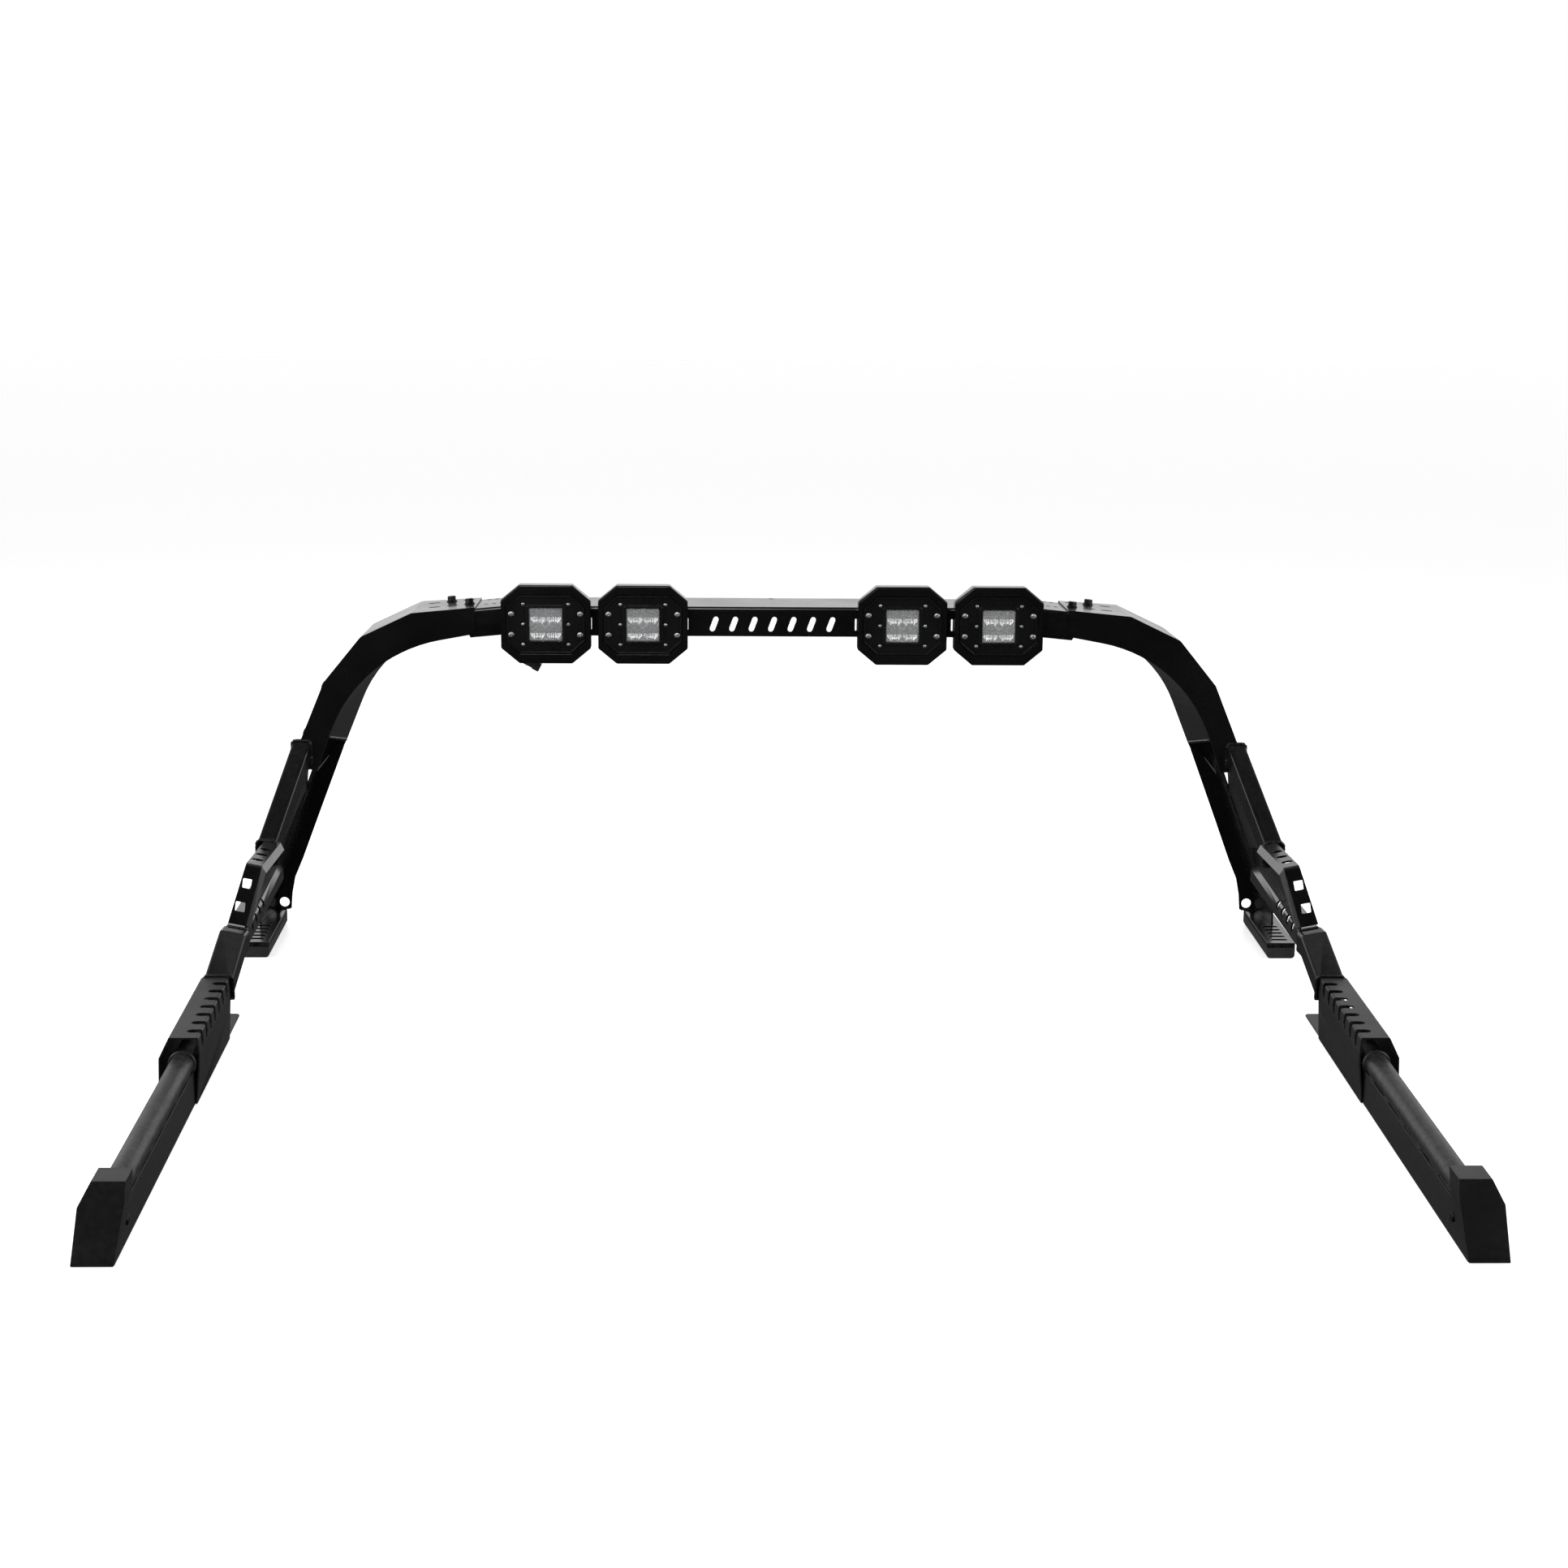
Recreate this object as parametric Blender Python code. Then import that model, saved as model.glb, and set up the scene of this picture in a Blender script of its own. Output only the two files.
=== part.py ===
"""Headache rack for a pickup bed: a crossbar hoop with four light pods, braces and bed rails.

World frame: +X to the right, +Y towards the cab, +Z up, metres. The feet and rails stand on Z = 0.
Every outline below is drawn in the design frame, whose Y = 0 is the front plane of the hoop, and
on the right-hand side (+X); the left-hand pieces are mirrored. One empty per rigid body carries
its pieces, and each side's empty stands on the slide axis along which that side is adjusted.
"""

import math

import bmesh
import bpy
from mathutils import Vector

# Overall placing
RAIL_FRONT = -1.357
HOOP_BACK = 0.1555
FRAME_SHIFT = -(RAIL_FRONT + HOOP_BACK) / 2

# Sheet metal
GAP = 0.0003
SHEET = 0.002
PLATE = 0.003
BEND = 0.004

# Crossbar and the slide bars at its ends
BAR_TOP = 0.577
BAR_HEIGHT = 0.0485
BAR_DEPTH = 0.120
BAR_HALF = 0.433
BAR_BACK_WALL = 0.025
SLIDE_END = 0.582
SLIDE_CUT = 0.500
SLIDE_SLOPE = 0.098
SLIDE_DEPTH = 0.119
ARM_RISE = 0.0026
WIRE_HOLE = (0.108, 0.004)
SLIT = (0.0028, 0.020)
SLIT_PLACES = (-0.2980, -0.2850, -0.1398, 0.1369, 0.2834, 0.2954)
VENT = (0.009, 0.026)
VENT_LEAN = 0.35
VENT_PITCH = 0.032
VENT_COUNT = 7

# Arms
ARM_START = 0.488
ARM_SHOULDER = (0.592, 0.5642)
ARM_ELBOW = (0.6756, 0.5244)
ARM_CHEEK = (0.7376, 0.4491)
ARM_FOOT = (0.7937, 0.3155)
ARM_DEPTHS = (0.1255, 0.152, 0.1555)
ARM_EDGE_SLOPE = 0.185
ARM_FRONT_EDGE = ((0.6712, 0.4964), 0.24)
ARM_BACK_EDGE = ((0.6535, 0.4996), 0.20)
WELD_FRONT = (0.7326, 0.357)
WELD_BACK = (0.725, 0.325)
SLOT = (0.0088, 0.020)
SLOT_ROWS = ((0.052, 0.501), (0.108, 0.507))
SLOT_PITCH = 0.029
CLAMPED_SLOTS = (0, 1)
PIVOT_BOLTS = ((0.045, 0.436), (0.045, 0.358))

# Legs and feet
WEB_Y = 0.149
FLANGE_FRONT = 0.055
FOOT_FRONT = -0.070
FOOT_WIDTH = 0.047
FOOT_HEIGHT = 0.018
FOOT_PLATE = 0.008
FOOT_INNER = 0.829
FOOT_TOE = 0.034
LIGHTENING_HOLE = (0.840, 0.038, 0.0085)

# Braces
TUBE_WIDTH = 0.030
TUBE_HEIGHT = 0.0378
TUBE_WALL = 0.002
KNEE_BACK = -0.1703
KNEE_FRONT = -0.335
KNEE_TOP = 0.2195
KNEE_END = (-0.402, 0.1425)
KNEE_ROLL = 0.20
KNEE_MIDDLE = 0.793
KNEE_WINDOWS = ((0.315, 0.8045), (0.710, 0.8115))
LOWER_TUBE_BACK = -0.388
BRACKET_TOP = 0.1336

# Bed rails
TOE = 0.0418
RAIL_INNER = 0.7758
RAIL_BASE = 0.0455
RAIL_WALL = 0.047
RAIL_BACK = -0.392
COVER_SPAN = (-0.801, -0.510)
COVER_SHEET = 0.0025
COVER_LEAN = (0.0025, 0.0050)
COVER_SEAT = 0.7963
COVER_EDGE = (0.789, 0.0946)
COVER_BENDS = ((0.7883, 0.053), (0.7875, 0.071), COVER_EDGE, (0.829, 0.0946), (0.8437, 0.065), (0.8458, 0.0034))
COVER_SLOTS = 7
COVER_SLOT_PITCH = 0.038
TUBE_RADIUS = 0.016
TUBE_AXIS = 0.0150
TUBE_AXIS_HEIGHT = 0.058
CAP_BACK = -1.312

# Light pods
POD_PLACES = (-0.3704, -0.2122, 0.2122, 0.3704)
POD_HEIGHT = 0.5503
POD_SIZE = (0.146, 0.1285)
POD_CHAMFER = (0.030, 0.025)
POD_FRONT = -0.027
BEZEL_SIZE = (0.127, 0.095)
BEZEL_CHAMFER = (0.022, 0.020)
BEZEL_RIM = 0.0025
BEZEL_FIT = 0.0014
BODY_SIZE = (0.104, 0.076)
LENS_SIZE = 0.0535
CONNECTOR_PLACE = (-0.3978, 0.0100, 0.4814)
CONNECTOR_SLANT = -28


# ---------------------------------------------------------------- materials

COLOURS = {
    "powder_coat": ((0.012, 0.012, 0.013), 0.32, 0.0),
    "rail_coat": ((0.020, 0.020, 0.021), 0.45, 0.0),
    "pod_coat": ((0.014, 0.014, 0.015), 0.30, 0.0),
    "cast_black": ((0.016, 0.016, 0.017), 0.38, 0.0),
    "reflector_chrome": ((0.80, 0.81, 0.82), 0.12, 1.0),
    "lens_clear": ((0.90, 0.92, 0.93), 0.03, 0.0),
    "black_steel": ((0.030, 0.030, 0.031), 0.35, 1.0),
    "black_plastic": ((0.015, 0.015, 0.015), 0.5, 0.0),
    "foot_rubber": ((0.014, 0.014, 0.014), 0.6, 0.0),
}


def make_material(name):
    colour, roughness, metallic = COLOURS[name]
    material = bpy.data.materials.new(name)
    material.use_nodes = True
    shader = material.node_tree.nodes["Principled BSDF"]
    shader.inputs["Base Color"].default_value = (*colour, 1)
    shader.inputs["Roughness"].default_value = roughness
    shader.inputs["Metallic"].default_value = metallic
    material.diffuse_color = (*colour, 1)
    return material


# ---------------------------------------------------------------- outlines

def rounded(points, radius, steps=4, closed=False):
    """The polyline with each corner replaced by an arc of the radius."""
    corners = [Vector(p) for p in points]
    count = len(corners)
    path = []
    for i, corner in enumerate(corners):
        if not closed and i in (0, count - 1):
            path.append(corner)
            continue
        before = (corners[i - 1] - corner).normalized()
        after = (corners[(i + 1) % count] - corner).normalized()
        half = before.angle(after) / 2
        reach = radius / math.tan(half)
        centre = corner + (before + after).normalized() * (radius / math.sin(half))
        start = corner + before * reach - centre
        turn = (corner + after * reach - centre).angle_signed(start)
        for k in range(steps + 1):
            angle = turn * k / steps
            path.append(centre + Vector((
                start.x * math.cos(angle) - start.y * math.sin(angle),
                start.x * math.sin(angle) + start.y * math.cos(angle),
            )))
    return [tuple(p) for p in path]


def offset(points, distance):
    """The open polyline moved sideways, to the left of its direction when distance is positive."""
    path = [Vector(p) for p in points]
    moved = []
    for i, point in enumerate(path):
        sides = []
        if i > 0:
            sides.append((point - path[i - 1]).normalized())
        if i < len(path) - 1:
            sides.append((path[i + 1] - point).normalized())
        normals = [Vector((-side.y, side.x)) for side in sides]
        mean = sum(normals, Vector((0, 0))).normalized()
        moved.append(tuple(point + mean * (distance / mean.dot(normals[0]))))
    return moved


def bent_sheet(points, thickness):
    """Closed outline of a sheet whose one face follows the polyline."""
    return list(points) + offset(points, thickness)[::-1]


def box_outline(width, height, chamfer_x, chamfer_z):
    """Eight corners of a centred rectangle with cut corners, counter-clockwise."""
    x, z = width / 2, height / 2
    return [
        (x, -z + chamfer_z), (x, z - chamfer_z), (x - chamfer_x, z), (-x + chamfer_x, z),
        (-x, z - chamfer_z), (-x, -z + chamfer_z), (-x + chamfer_x, -z), (x - chamfer_x, -z),
    ]


def rounded_box(width, height, radius, steps=3):
    x, z = width / 2, height / 2
    return rounded([(x, -z), (x, z), (-x, z), (-x, -z)], radius, steps, closed=True)


def slot_outline(width, length, steps=5):
    """A slot with round ends, its length along the first coordinate."""
    straight = (length - width) / 2
    outline = []
    for end in (1, -1):
        for k in range(steps + 1):
            angle = math.pi * (k / steps - 0.5)
            outline.append((
                end * (straight + width / 2 * math.cos(angle)),
                end * width / 2 * math.sin(angle),
            ))
    return outline


def circle(radius, steps=24):
    return [
        (radius * math.cos(math.tau * k / steps), radius * math.sin(math.tau * k / steps))
        for k in range(steps)
    ]


def hexagon(across_flats, steps=24):
    """Points on a hexagon's edge at the same angles as the circle's."""
    outline = []
    for k in range(steps):
        angle = math.tau * k / steps
        from_flat = (angle + math.pi / 6) % (math.pi / 3) - math.pi / 6
        reach = across_flats / 2 / math.cos(from_flat)
        outline.append((reach * math.cos(angle), reach * math.sin(angle)))
    return outline


# ---------------------------------------------------------------- solids

def loft(mesh, rings, closed=False):
    """Skins rings of equal length, with end caps unless the last ring joins the first."""
    rows = [[mesh.verts.new(p) for p in ring] for ring in rings]
    pairs = list(zip(rows, rows[1:]))
    if closed:
        pairs.append((rows[-1], rows[0]))
    for near, far in pairs:
        for i in range(len(near)):
            j = (i + 1) % len(near)
            mesh.faces.new((near[i], near[j], far[j], far[i]))
    if not closed:
        mesh.faces.new(rows[0][::-1])
        mesh.faces.new(rows[-1])


def across(outline, x):
    return [(x, y, z) for y, z in outline]


def along(outline, y, shift_x=0.0, shift_z=0.0):
    return [(x + shift_x, y, z + shift_z) for x, z in outline]


def facing(outline, origin, first, second, height=0.0):
    """The outline laid in the plane of two directions, lifted along their cross product."""
    first, second = Vector(first).normalized(), Vector(second).normalized()
    up = first.cross(second)
    return [tuple(Vector(origin) + first * a + second * b + up * height) for a, b in outline]


def cutter(mesh, outline, origin, first, second, low, high):
    loft(mesh, [facing(outline, origin, first, second, h) for h in (low, high)])


def triangulate(data):
    """Splits every face into triangles, because a Boolean needs flat faces."""
    shape = bmesh.new()
    shape.from_mesh(data)
    bmesh.ops.triangulate(shape, faces=shape.faces)
    shape.to_mesh(data)
    shape.free()


class Body:
    """A rigid body: an empty, the pieces under it and the side they are mirrored to."""

    def __init__(self, name, origin, side=1):
        self.side = side
        self.origin = Vector((origin[0] * side, origin[1], origin[2]))
        self.empty = bpy.data.objects.new(name, None)
        self.empty.location = self.origin + Vector((0, FRAME_SHIFT, 0))
        self.empty.empty_display_size = 0.05
        bpy.context.scene.collection.objects.link(self.empty)

    def add(self, name, material, draw, cuts=(), joins=()):
        """Makes the object that draw fills, less what each of cuts fills, plus what each of joins fills."""
        obj = bpy.data.objects.new(name, self.mesh(name, draw))
        obj.parent = self.empty
        obj.location = -self.origin
        bpy.context.scene.collection.objects.link(obj)
        for fill in cuts:
            self.combine(obj, "DIFFERENCE", fill)
        for fill in joins:
            self.combine(obj, "UNION", fill)
        obj.data.materials.clear()
        obj.data.materials.append(MATERIALS[material])
        obj.data.shade_smooth()
        obj.data.set_sharp_from_angle(angle=math.radians(30))
        return obj

    def mesh(self, name, draw):
        shape = bmesh.new()
        draw(shape)
        if self.side < 0:
            bmesh.ops.scale(shape, vec=(-1, 1, 1), verts=shape.verts)
        bmesh.ops.recalc_face_normals(shape, faces=shape.faces)
        data = bpy.data.meshes.new(name)
        shape.to_mesh(data)
        shape.free()
        return data

    def combine(self, obj, operation, fill):
        tool = bpy.data.objects.new(obj.name + "_tool", self.mesh(obj.name + "_tool", fill))
        triangulate(obj.data)
        triangulate(tool.data)
        tool.parent = self.empty
        tool.location = obj.location
        bpy.context.scene.collection.objects.link(tool)
        modifier = obj.modifiers.new("combine", "BOOLEAN")
        modifier.operation = operation
        modifier.solver = "EXACT"
        modifier.object = tool
        bpy.context.view_layer.update()
        graph = bpy.context.evaluated_depsgraph_get()
        result = bpy.data.meshes.new_from_object(obj.evaluated_get(graph))
        obj.modifiers.clear()
        obj.data = result
        result.name = obj.name
        bpy.data.objects.remove(tool)


# ---------------------------------------------------------------- crossbar and slide bars

def draw_crossbar(mesh):
    low = BAR_TOP - BAR_HEIGHT
    path = [(0, low), (0, BAR_TOP), (BAR_DEPTH, BAR_TOP), (BAR_DEPTH, BAR_TOP - BAR_BACK_WALL)]
    section = bent_sheet(rounded(path, BEND, 3), -SHEET)
    loft(mesh, [across(section, -BAR_HALF), across(section, BAR_HALF)])


def cut_crossbar(mesh):
    """Upright slits beside the pods and a row of leaning vents in the middle of the front wall."""
    middle = BAR_TOP - BAR_HEIGHT / 2 - 0.004
    for x in SLIT_PLACES:
        cutter(mesh, slot_outline(SLIT[0], SLIT[1], 3), (x, 0, middle), (0, 0, 1), (1, 0, 0), -0.01, 0.01)
    for k in range(VENT_COUNT):
        x = (k - (VENT_COUNT - 1) / 2) * VENT_PITCH
        lean = (math.sin(VENT_LEAN), 0, math.cos(VENT_LEAN))
        side = (math.cos(VENT_LEAN), 0, -math.sin(VENT_LEAN))
        cutter(mesh, slot_outline(VENT[0], VENT[1], 4), (x, 0, middle), lean, side, -0.01, 0.01)


def slide_top(x):
    return BAR_TOP - SLIDE_SLOPE * (x - BAR_HALF)


def slope_axes():
    """Unit vectors down the slope, across it and out of its top face."""
    down = Vector((1, 0, -SLIDE_SLOPE)).normalized()
    across_bar = Vector((0, 1, 0))
    return down, across_bar, down.cross(across_bar)


def slot_centre(row, index):
    y, start = SLOT_ROWS[row]
    x = start + index * SLOT_PITCH
    return Vector((x, y, slide_top(x)))


def draw_slide_bar(mesh):
    front = SHEET + 2 * GAP
    back = front + SLIDE_DEPTH
    path = [(front + 0.010, -0.0485), (front, -0.0275), (front, 0), (back, 0), (back, -0.030)]
    section = bent_sheet(rounded(path, BEND, 3), -SHEET)
    rings = []
    for x in (BAR_HALF + GAP, SLIDE_END):
        rings.append([(x, y, z + slide_top(x)) for y, z in section])
    loft(mesh, rings)


def cut_wire_hole(mesh):
    """A small hole in the middle of the top, near the back edge."""
    y, radius = WIRE_HOLE
    cutter(mesh, circle(radius, 16), (0, y, BAR_TOP), (1, 0, 0), (0, 1, 0), -0.01, 0.01)


def cut_slide_bar(mesh):
    """Clamp holes, the row of small holes outside the pod and the cut-away lower lip inside the arm."""
    down, side, _ = slope_axes()
    for row, index in enumerate(CLAMPED_SLOTS):
        cutter(mesh, circle(0.0046), slot_centre(row, index), down, side, -0.008, 0.008)
    for y, _ in SLOT_ROWS:
        for x in (0.4475, 0.4605, 0.4735):
            cutter(mesh, circle(0.0035, 10), (x, y, slide_top(x)), down, side, -0.008, 0.008)
    lip = slide_top(SLIDE_CUT) - 0.040
    wedge = [(SLIDE_CUT - 0.008, lip - 0.020), (SLIDE_CUT, lip), (0.62, lip), (0.62, lip - 0.020)]
    loft(mesh, [along(wedge, y) for y in (-0.01, SLIDE_DEPTH + 0.02)])


# ---------------------------------------------------------------- arms

def resample(path, spacing):
    """The polyline with points added along its long segments."""
    points = [Vector(path[0])]
    for end in map(Vector, path[1:]):
        start = points[-1]
        count = max(1, round((end - start).length / spacing))
        points += [start.lerp(end, k / count) for k in range(1, count + 1)]
    return points


def at_share(path, share):
    """The point at a share of the polyline's length."""
    points = [Vector(p) for p in path]
    lengths = [(b - a).length for a, b in zip(points, points[1:])]
    left = share * sum(lengths)
    for start, end, length in zip(points, points[1:], lengths):
        if left <= length:
            return start.lerp(end, left / length)
        left -= length
    return points[-1]


def arm_depth(x):
    """The arm is a sleeve around the slide bar at its start and flares to full depth at the elbow."""
    sleeve, shoulder, full = ARM_DEPTHS
    if x < ARM_SHOULDER[0]:
        share = max(0.0, (x - ARM_START) / (ARM_SHOULDER[0] - ARM_START))
        return sleeve + (shoulder - sleeve) * share
    share = min(1.0, (x - ARM_SHOULDER[0]) / (ARM_ELBOW[0] - ARM_SHOULDER[0]))
    return shoulder + (full - shoulder) * share


def inner_edge(corner, radius, weld):
    """The arm's inner edge from the sleeve to the weld, one long arc between two straight runs."""
    sleeve = (ARM_START, corner[1] + (corner[0] - ARM_START) * ARM_EDGE_SLOPE)
    return rounded([sleeve, corner, weld], radius, 16)


def arm_rings(inset, front_y, back_inset, outer_tail, front_tail, back_tail, lead=0.0):
    """Four-cornered rings along the arm: outer edge front and back, inner edge back and front."""
    sleeve_top = (ARM_START, slide_top(ARM_START) + ARM_RISE)
    outer = rounded([sleeve_top, ARM_SHOULDER, ARM_ELBOW, ARM_CHEEK, ARM_FOOT], 0.012, 2)
    outer = resample(offset(outer, -inset), 0.022)
    total = sum((b - a).length for a, b in zip(outer, outer[1:]))
    front = offset(inner_edge(*ARM_FRONT_EDGE, WELD_FRONT), inset)
    back = offset(inner_edge(*ARM_BACK_EDGE, WELD_BACK), inset)
    corners = []
    run = 0.0
    for k, point in enumerate(outer):
        run += (point - outer[k - 1]).length if k else 0.0
        corners.append((point, at_share(front, run / total), at_share(back, run / total)))
    corners += list(zip(map(Vector, outer_tail), map(Vector, front_tail), map(Vector, back_tail)))
    if lead:
        step = Vector((-lead, lead * SLIDE_SLOPE))
        corners.insert(0, tuple(point + step for point in corners[0]))
    rings = []
    for top, low_front, low_back in corners:
        depth = arm_depth(top.x) - back_inset
        rings.append([(top.x, front_y, top.y), (top.x, depth, top.y),
                      (low_back.x, depth, low_back.y), (low_front.x, front_y, low_front.y)])
    return rings


def draw_arm(mesh):
    loft(mesh, arm_rings(0, 0, 0, [(0.787, 0.3075), (0.772, 0.303)],
                         [(0.744, 0.3246), (0.752, 0.302)], [(0.732, 0.311), (0.736, 0.302)]))


def cut_arm(mesh):
    """The hollow inside, open at the sleeve and at the foot."""
    loft(mesh, arm_rings(SHEET, SHEET, PLATE, [(0.8045, 0.285)], [(0.760, 0.285)], [(0.744, 0.285)], 0.01))


def cut_arm_corner(mesh):
    """Rounds the sleeve's lower corner."""
    arc = rounded([(ARM_START, 0.550), (ARM_START, 0.5275), (0.5120, 0.5240)], 0.020, 5)
    loft(mesh, [along([(0.470, 0.550)] + arc + [(0.5120, 0.500), (0.470, 0.500)], y) for y in (-0.01, 0.16)])


def cut_arm_sleeve(mesh):
    """Opens the underside next to the sleeve's end, where the slide bar's lower lip passes."""
    window = [(0.470, 0.500), (0.514, 0.500), (0.514, 0.532), (0.470, 0.532)]
    loft(mesh, [along(window, y) for y in (SHEET + GAP, ARM_DEPTHS[0] - PLATE - GAP)])


def cut_arm_openings(mesh):
    """The slots in the top face and the bolt holes in the outer face."""
    down, side, _ = slope_axes()
    for row in range(len(SLOT_ROWS)):
        for index in range(3):
            place = slot_centre(row, index) + Vector((0, 0, ARM_RISE))
            cutter(mesh, slot_outline(*SLOT), place, down, side, -0.004, 0.008)
    for y, z in PIVOT_BOLTS:
        cutter(mesh, circle(0.0043, 12), cheek_point(y, z), *cheek_axes()[:2], -0.004, 0.006)


def cut_arm_foot(mesh):
    """Opens the inner side of the arm below the slanted weld, where the leg's web comes in."""
    low, lean = 0.292, -0.3774
    window = []
    for y, (_, z) in ((SHEET + GAP, WELD_FRONT), (ARM_DEPTHS[2] - PLATE - GAP, WELD_BACK)):
        window.append([(0.70, y, z), (0.7691 + (z - low) * lean, y, z), (0.7691, y, low), (0.70, y, low)])
    loft(mesh, window)


def draw_tongue(mesh):
    """The back plate's tongue, which runs down behind the web of the leg."""
    outline = [(0.7275, 0.335), (0.779, 0.345), (0.7865, 0.300), (0.7795, 0.262), (0.752, 0.262)]
    loft(mesh, [along(outline, ARM_DEPTHS[2] - y) for y in (PLATE - GAP, GAP)])


def cheek_axes():
    """Unit vectors down the arm's outer face, across it towards the cab, and out of it."""
    down = Vector((ARM_FOOT[0] - ARM_CHEEK[0], 0, ARM_FOOT[1] - ARM_CHEEK[1])).normalized()
    side = Vector((0, 1, 0))
    return down, side, down.cross(side)


def cheek_point(y, z):
    share = (ARM_CHEEK[1] - z) / (ARM_CHEEK[1] - ARM_FOOT[1])
    return Vector((ARM_CHEEK[0] + share * (ARM_FOOT[0] - ARM_CHEEK[0]), y, z))


def draw_clamp_bolt(mesh, place):
    """A hex flange bolt standing on the arm's top face, its shank down through slot and slide bar."""
    down, side, _ = slope_axes()
    profile = [
        (circle(0.004), -0.014),
        (circle(0.004), GAP),
        (circle(0.0085), GAP),
        (circle(0.0085), 0.0016),
        (circle(0.0074), 0.0026),
        (hexagon(0.013), 0.0026),
        (hexagon(0.013), 0.0085),
        (circle(0.0060), 0.0094),
    ]
    loft(mesh, [facing(outline, place, down, side, height) for outline, height in profile])


def draw_pivot_bolt(mesh, place):
    """A button-head bolt whose shank passes through the arm's outer wall."""
    down, side, _ = cheek_axes()
    profile = [(circle(0.004, 16), -0.010), (circle(0.004, 16), GAP), (circle(0.008, 16), GAP)]
    profile += [(circle(0.008 * math.cos(a), 16), 0.0015 + 0.0035 * math.sin(a)) for a in (0, 0.5, 1.0, 1.3)]
    loft(mesh, [facing(outline, place, down, side, height) for outline, height in profile])


# ---------------------------------------------------------------- legs and feet

def draw_leg(mesh):
    """An angle: a web that faces forward and a leaning flange along its outboard edge."""
    stations = [
        ((0.739, 0.319), (0.779, 0.270), (0.777, 0.269)),
        ((0.730, 0.3135), (0.785, 0.2485), (0.785, 0.249)),
        ((0.7777, 0.190), (0.803, 0.184), (0.8096, 0.190)),
        ((0.8055, 0.117), (0.828, 0.121), (0.8376, 0.121)),
        ((0.8205, 0.082), (0.8425, 0.083), (0.8533, 0.083)),
        ((0.826, 0.0545), (0.8546, 0.056), (0.866, 0.056)),
        ((0.8285, 0.0266), (0.855, 0.0266), (0.8665, 0.0266)),
    ]
    back = WEB_Y + PLATE
    rings = []
    for (web_x, web_z), (bend_x, bend_z), (lip_x, lip_z) in stations:
        rings.append([
            (web_x, WEB_Y, web_z), (bend_x - PLATE, WEB_Y, bend_z), (lip_x - PLATE, FLANGE_FRONT, lip_z),
            (lip_x, FLANGE_FRONT, lip_z), (bend_x, back, bend_z), (web_x, back, web_z),
        ])
    loft(mesh, rings)


def cut_leg(mesh):
    x, z, radius = LIGHTENING_HOLE
    cutter(mesh, circle(radius, 32), (x, WEB_Y, z), (0, 0, 1), (1, 0, 0), -0.01, 0.01)


def foot_rings(section):
    return [along(section, y, FOOT_TOE * (y - FOOT_FRONT)) for y in (FOOT_FRONT, WEB_Y + PLATE)]


def draw_foot_base(mesh):
    inner, outer = FOOT_INNER, FOOT_INNER + FOOT_WIDTH
    bottom = rounded([(inner, FOOT_HEIGHT), (inner, 0), (outer, 0), (outer, FOOT_HEIGHT)], 0.006, 4)
    loft(mesh, foot_rings(bottom))


def draw_foot_plate(mesh):
    low = FOOT_HEIGHT + GAP
    inner, outer = FOOT_INNER, FOOT_INNER + FOOT_WIDTH
    top = low + FOOT_PLATE
    loft(mesh, foot_rings([(inner, low), (outer, low), (outer, top), (inner, top)]))


def cut_foot_plate(mesh):
    """Five transverse slots in front of the leg."""
    for k in range(5):
        y = FOOT_FRONT + 0.022 + 0.021 * k
        x = FOOT_INNER + FOOT_WIDTH / 2 + FOOT_TOE * (y - FOOT_FRONT)
        cutter(mesh, slot_outline(0.008, 0.028, 4), (x, y, 0.022), (1, 0, 0), (0, 1, 0), -0.02, 0.02)


# ---------------------------------------------------------------- braces

def rolled(outline, roll):
    """The outline sheared so that it rises outboard by the roll."""
    return [(x, z + roll * x) for x, z in outline]


def tube_rings(stations, wall):
    """Rings of a rectangular tube, outside out and inside back, each station cut square to Y."""
    outside, inside = [], []
    for y, x, z, width, height, roll in stations:
        outside.append(along(rolled(rounded_box(width, height, 0.005), roll), y, x, z))
        inner = rounded_box(width - 2 * wall, height - 2 * wall, 0.003)
        inside.append(along(rolled(inner, roll), y, x, z))
    return outside + inside[::-1]


def upper_tube_station(y):
    return (y, 0.7763 - 0.187 * y, 0.3329 + 0.767 * y, TUBE_WIDTH, TUBE_HEIGHT, 0.0)


def draw_upper_tube(mesh):
    loft(mesh, tube_rings([upper_tube_station(y) for y in (-GAP, KNEE_BACK + GAP)], TUBE_WALL), closed=True)


def draw_lower_tube(mesh):
    stations = [
        (LOWER_TUBE_BACK, 0.8178, 0.1200, 0.039, 0.034, KNEE_ROLL),
        (-0.412, 0.8190, 0.1195, 0.039, 0.034, KNEE_ROLL),
        (COVER_SPAN[1] + GAP, 0.8225, 0.0780, 0.042, 0.034, 0.0),
    ]
    loft(mesh, tube_rings(stations, TUBE_WALL), closed=True)


def knee_rise(x):
    """The bracket is rolled, so that it rises outboard."""
    return KNEE_ROLL * (x - KNEE_MIDDLE)


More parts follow.
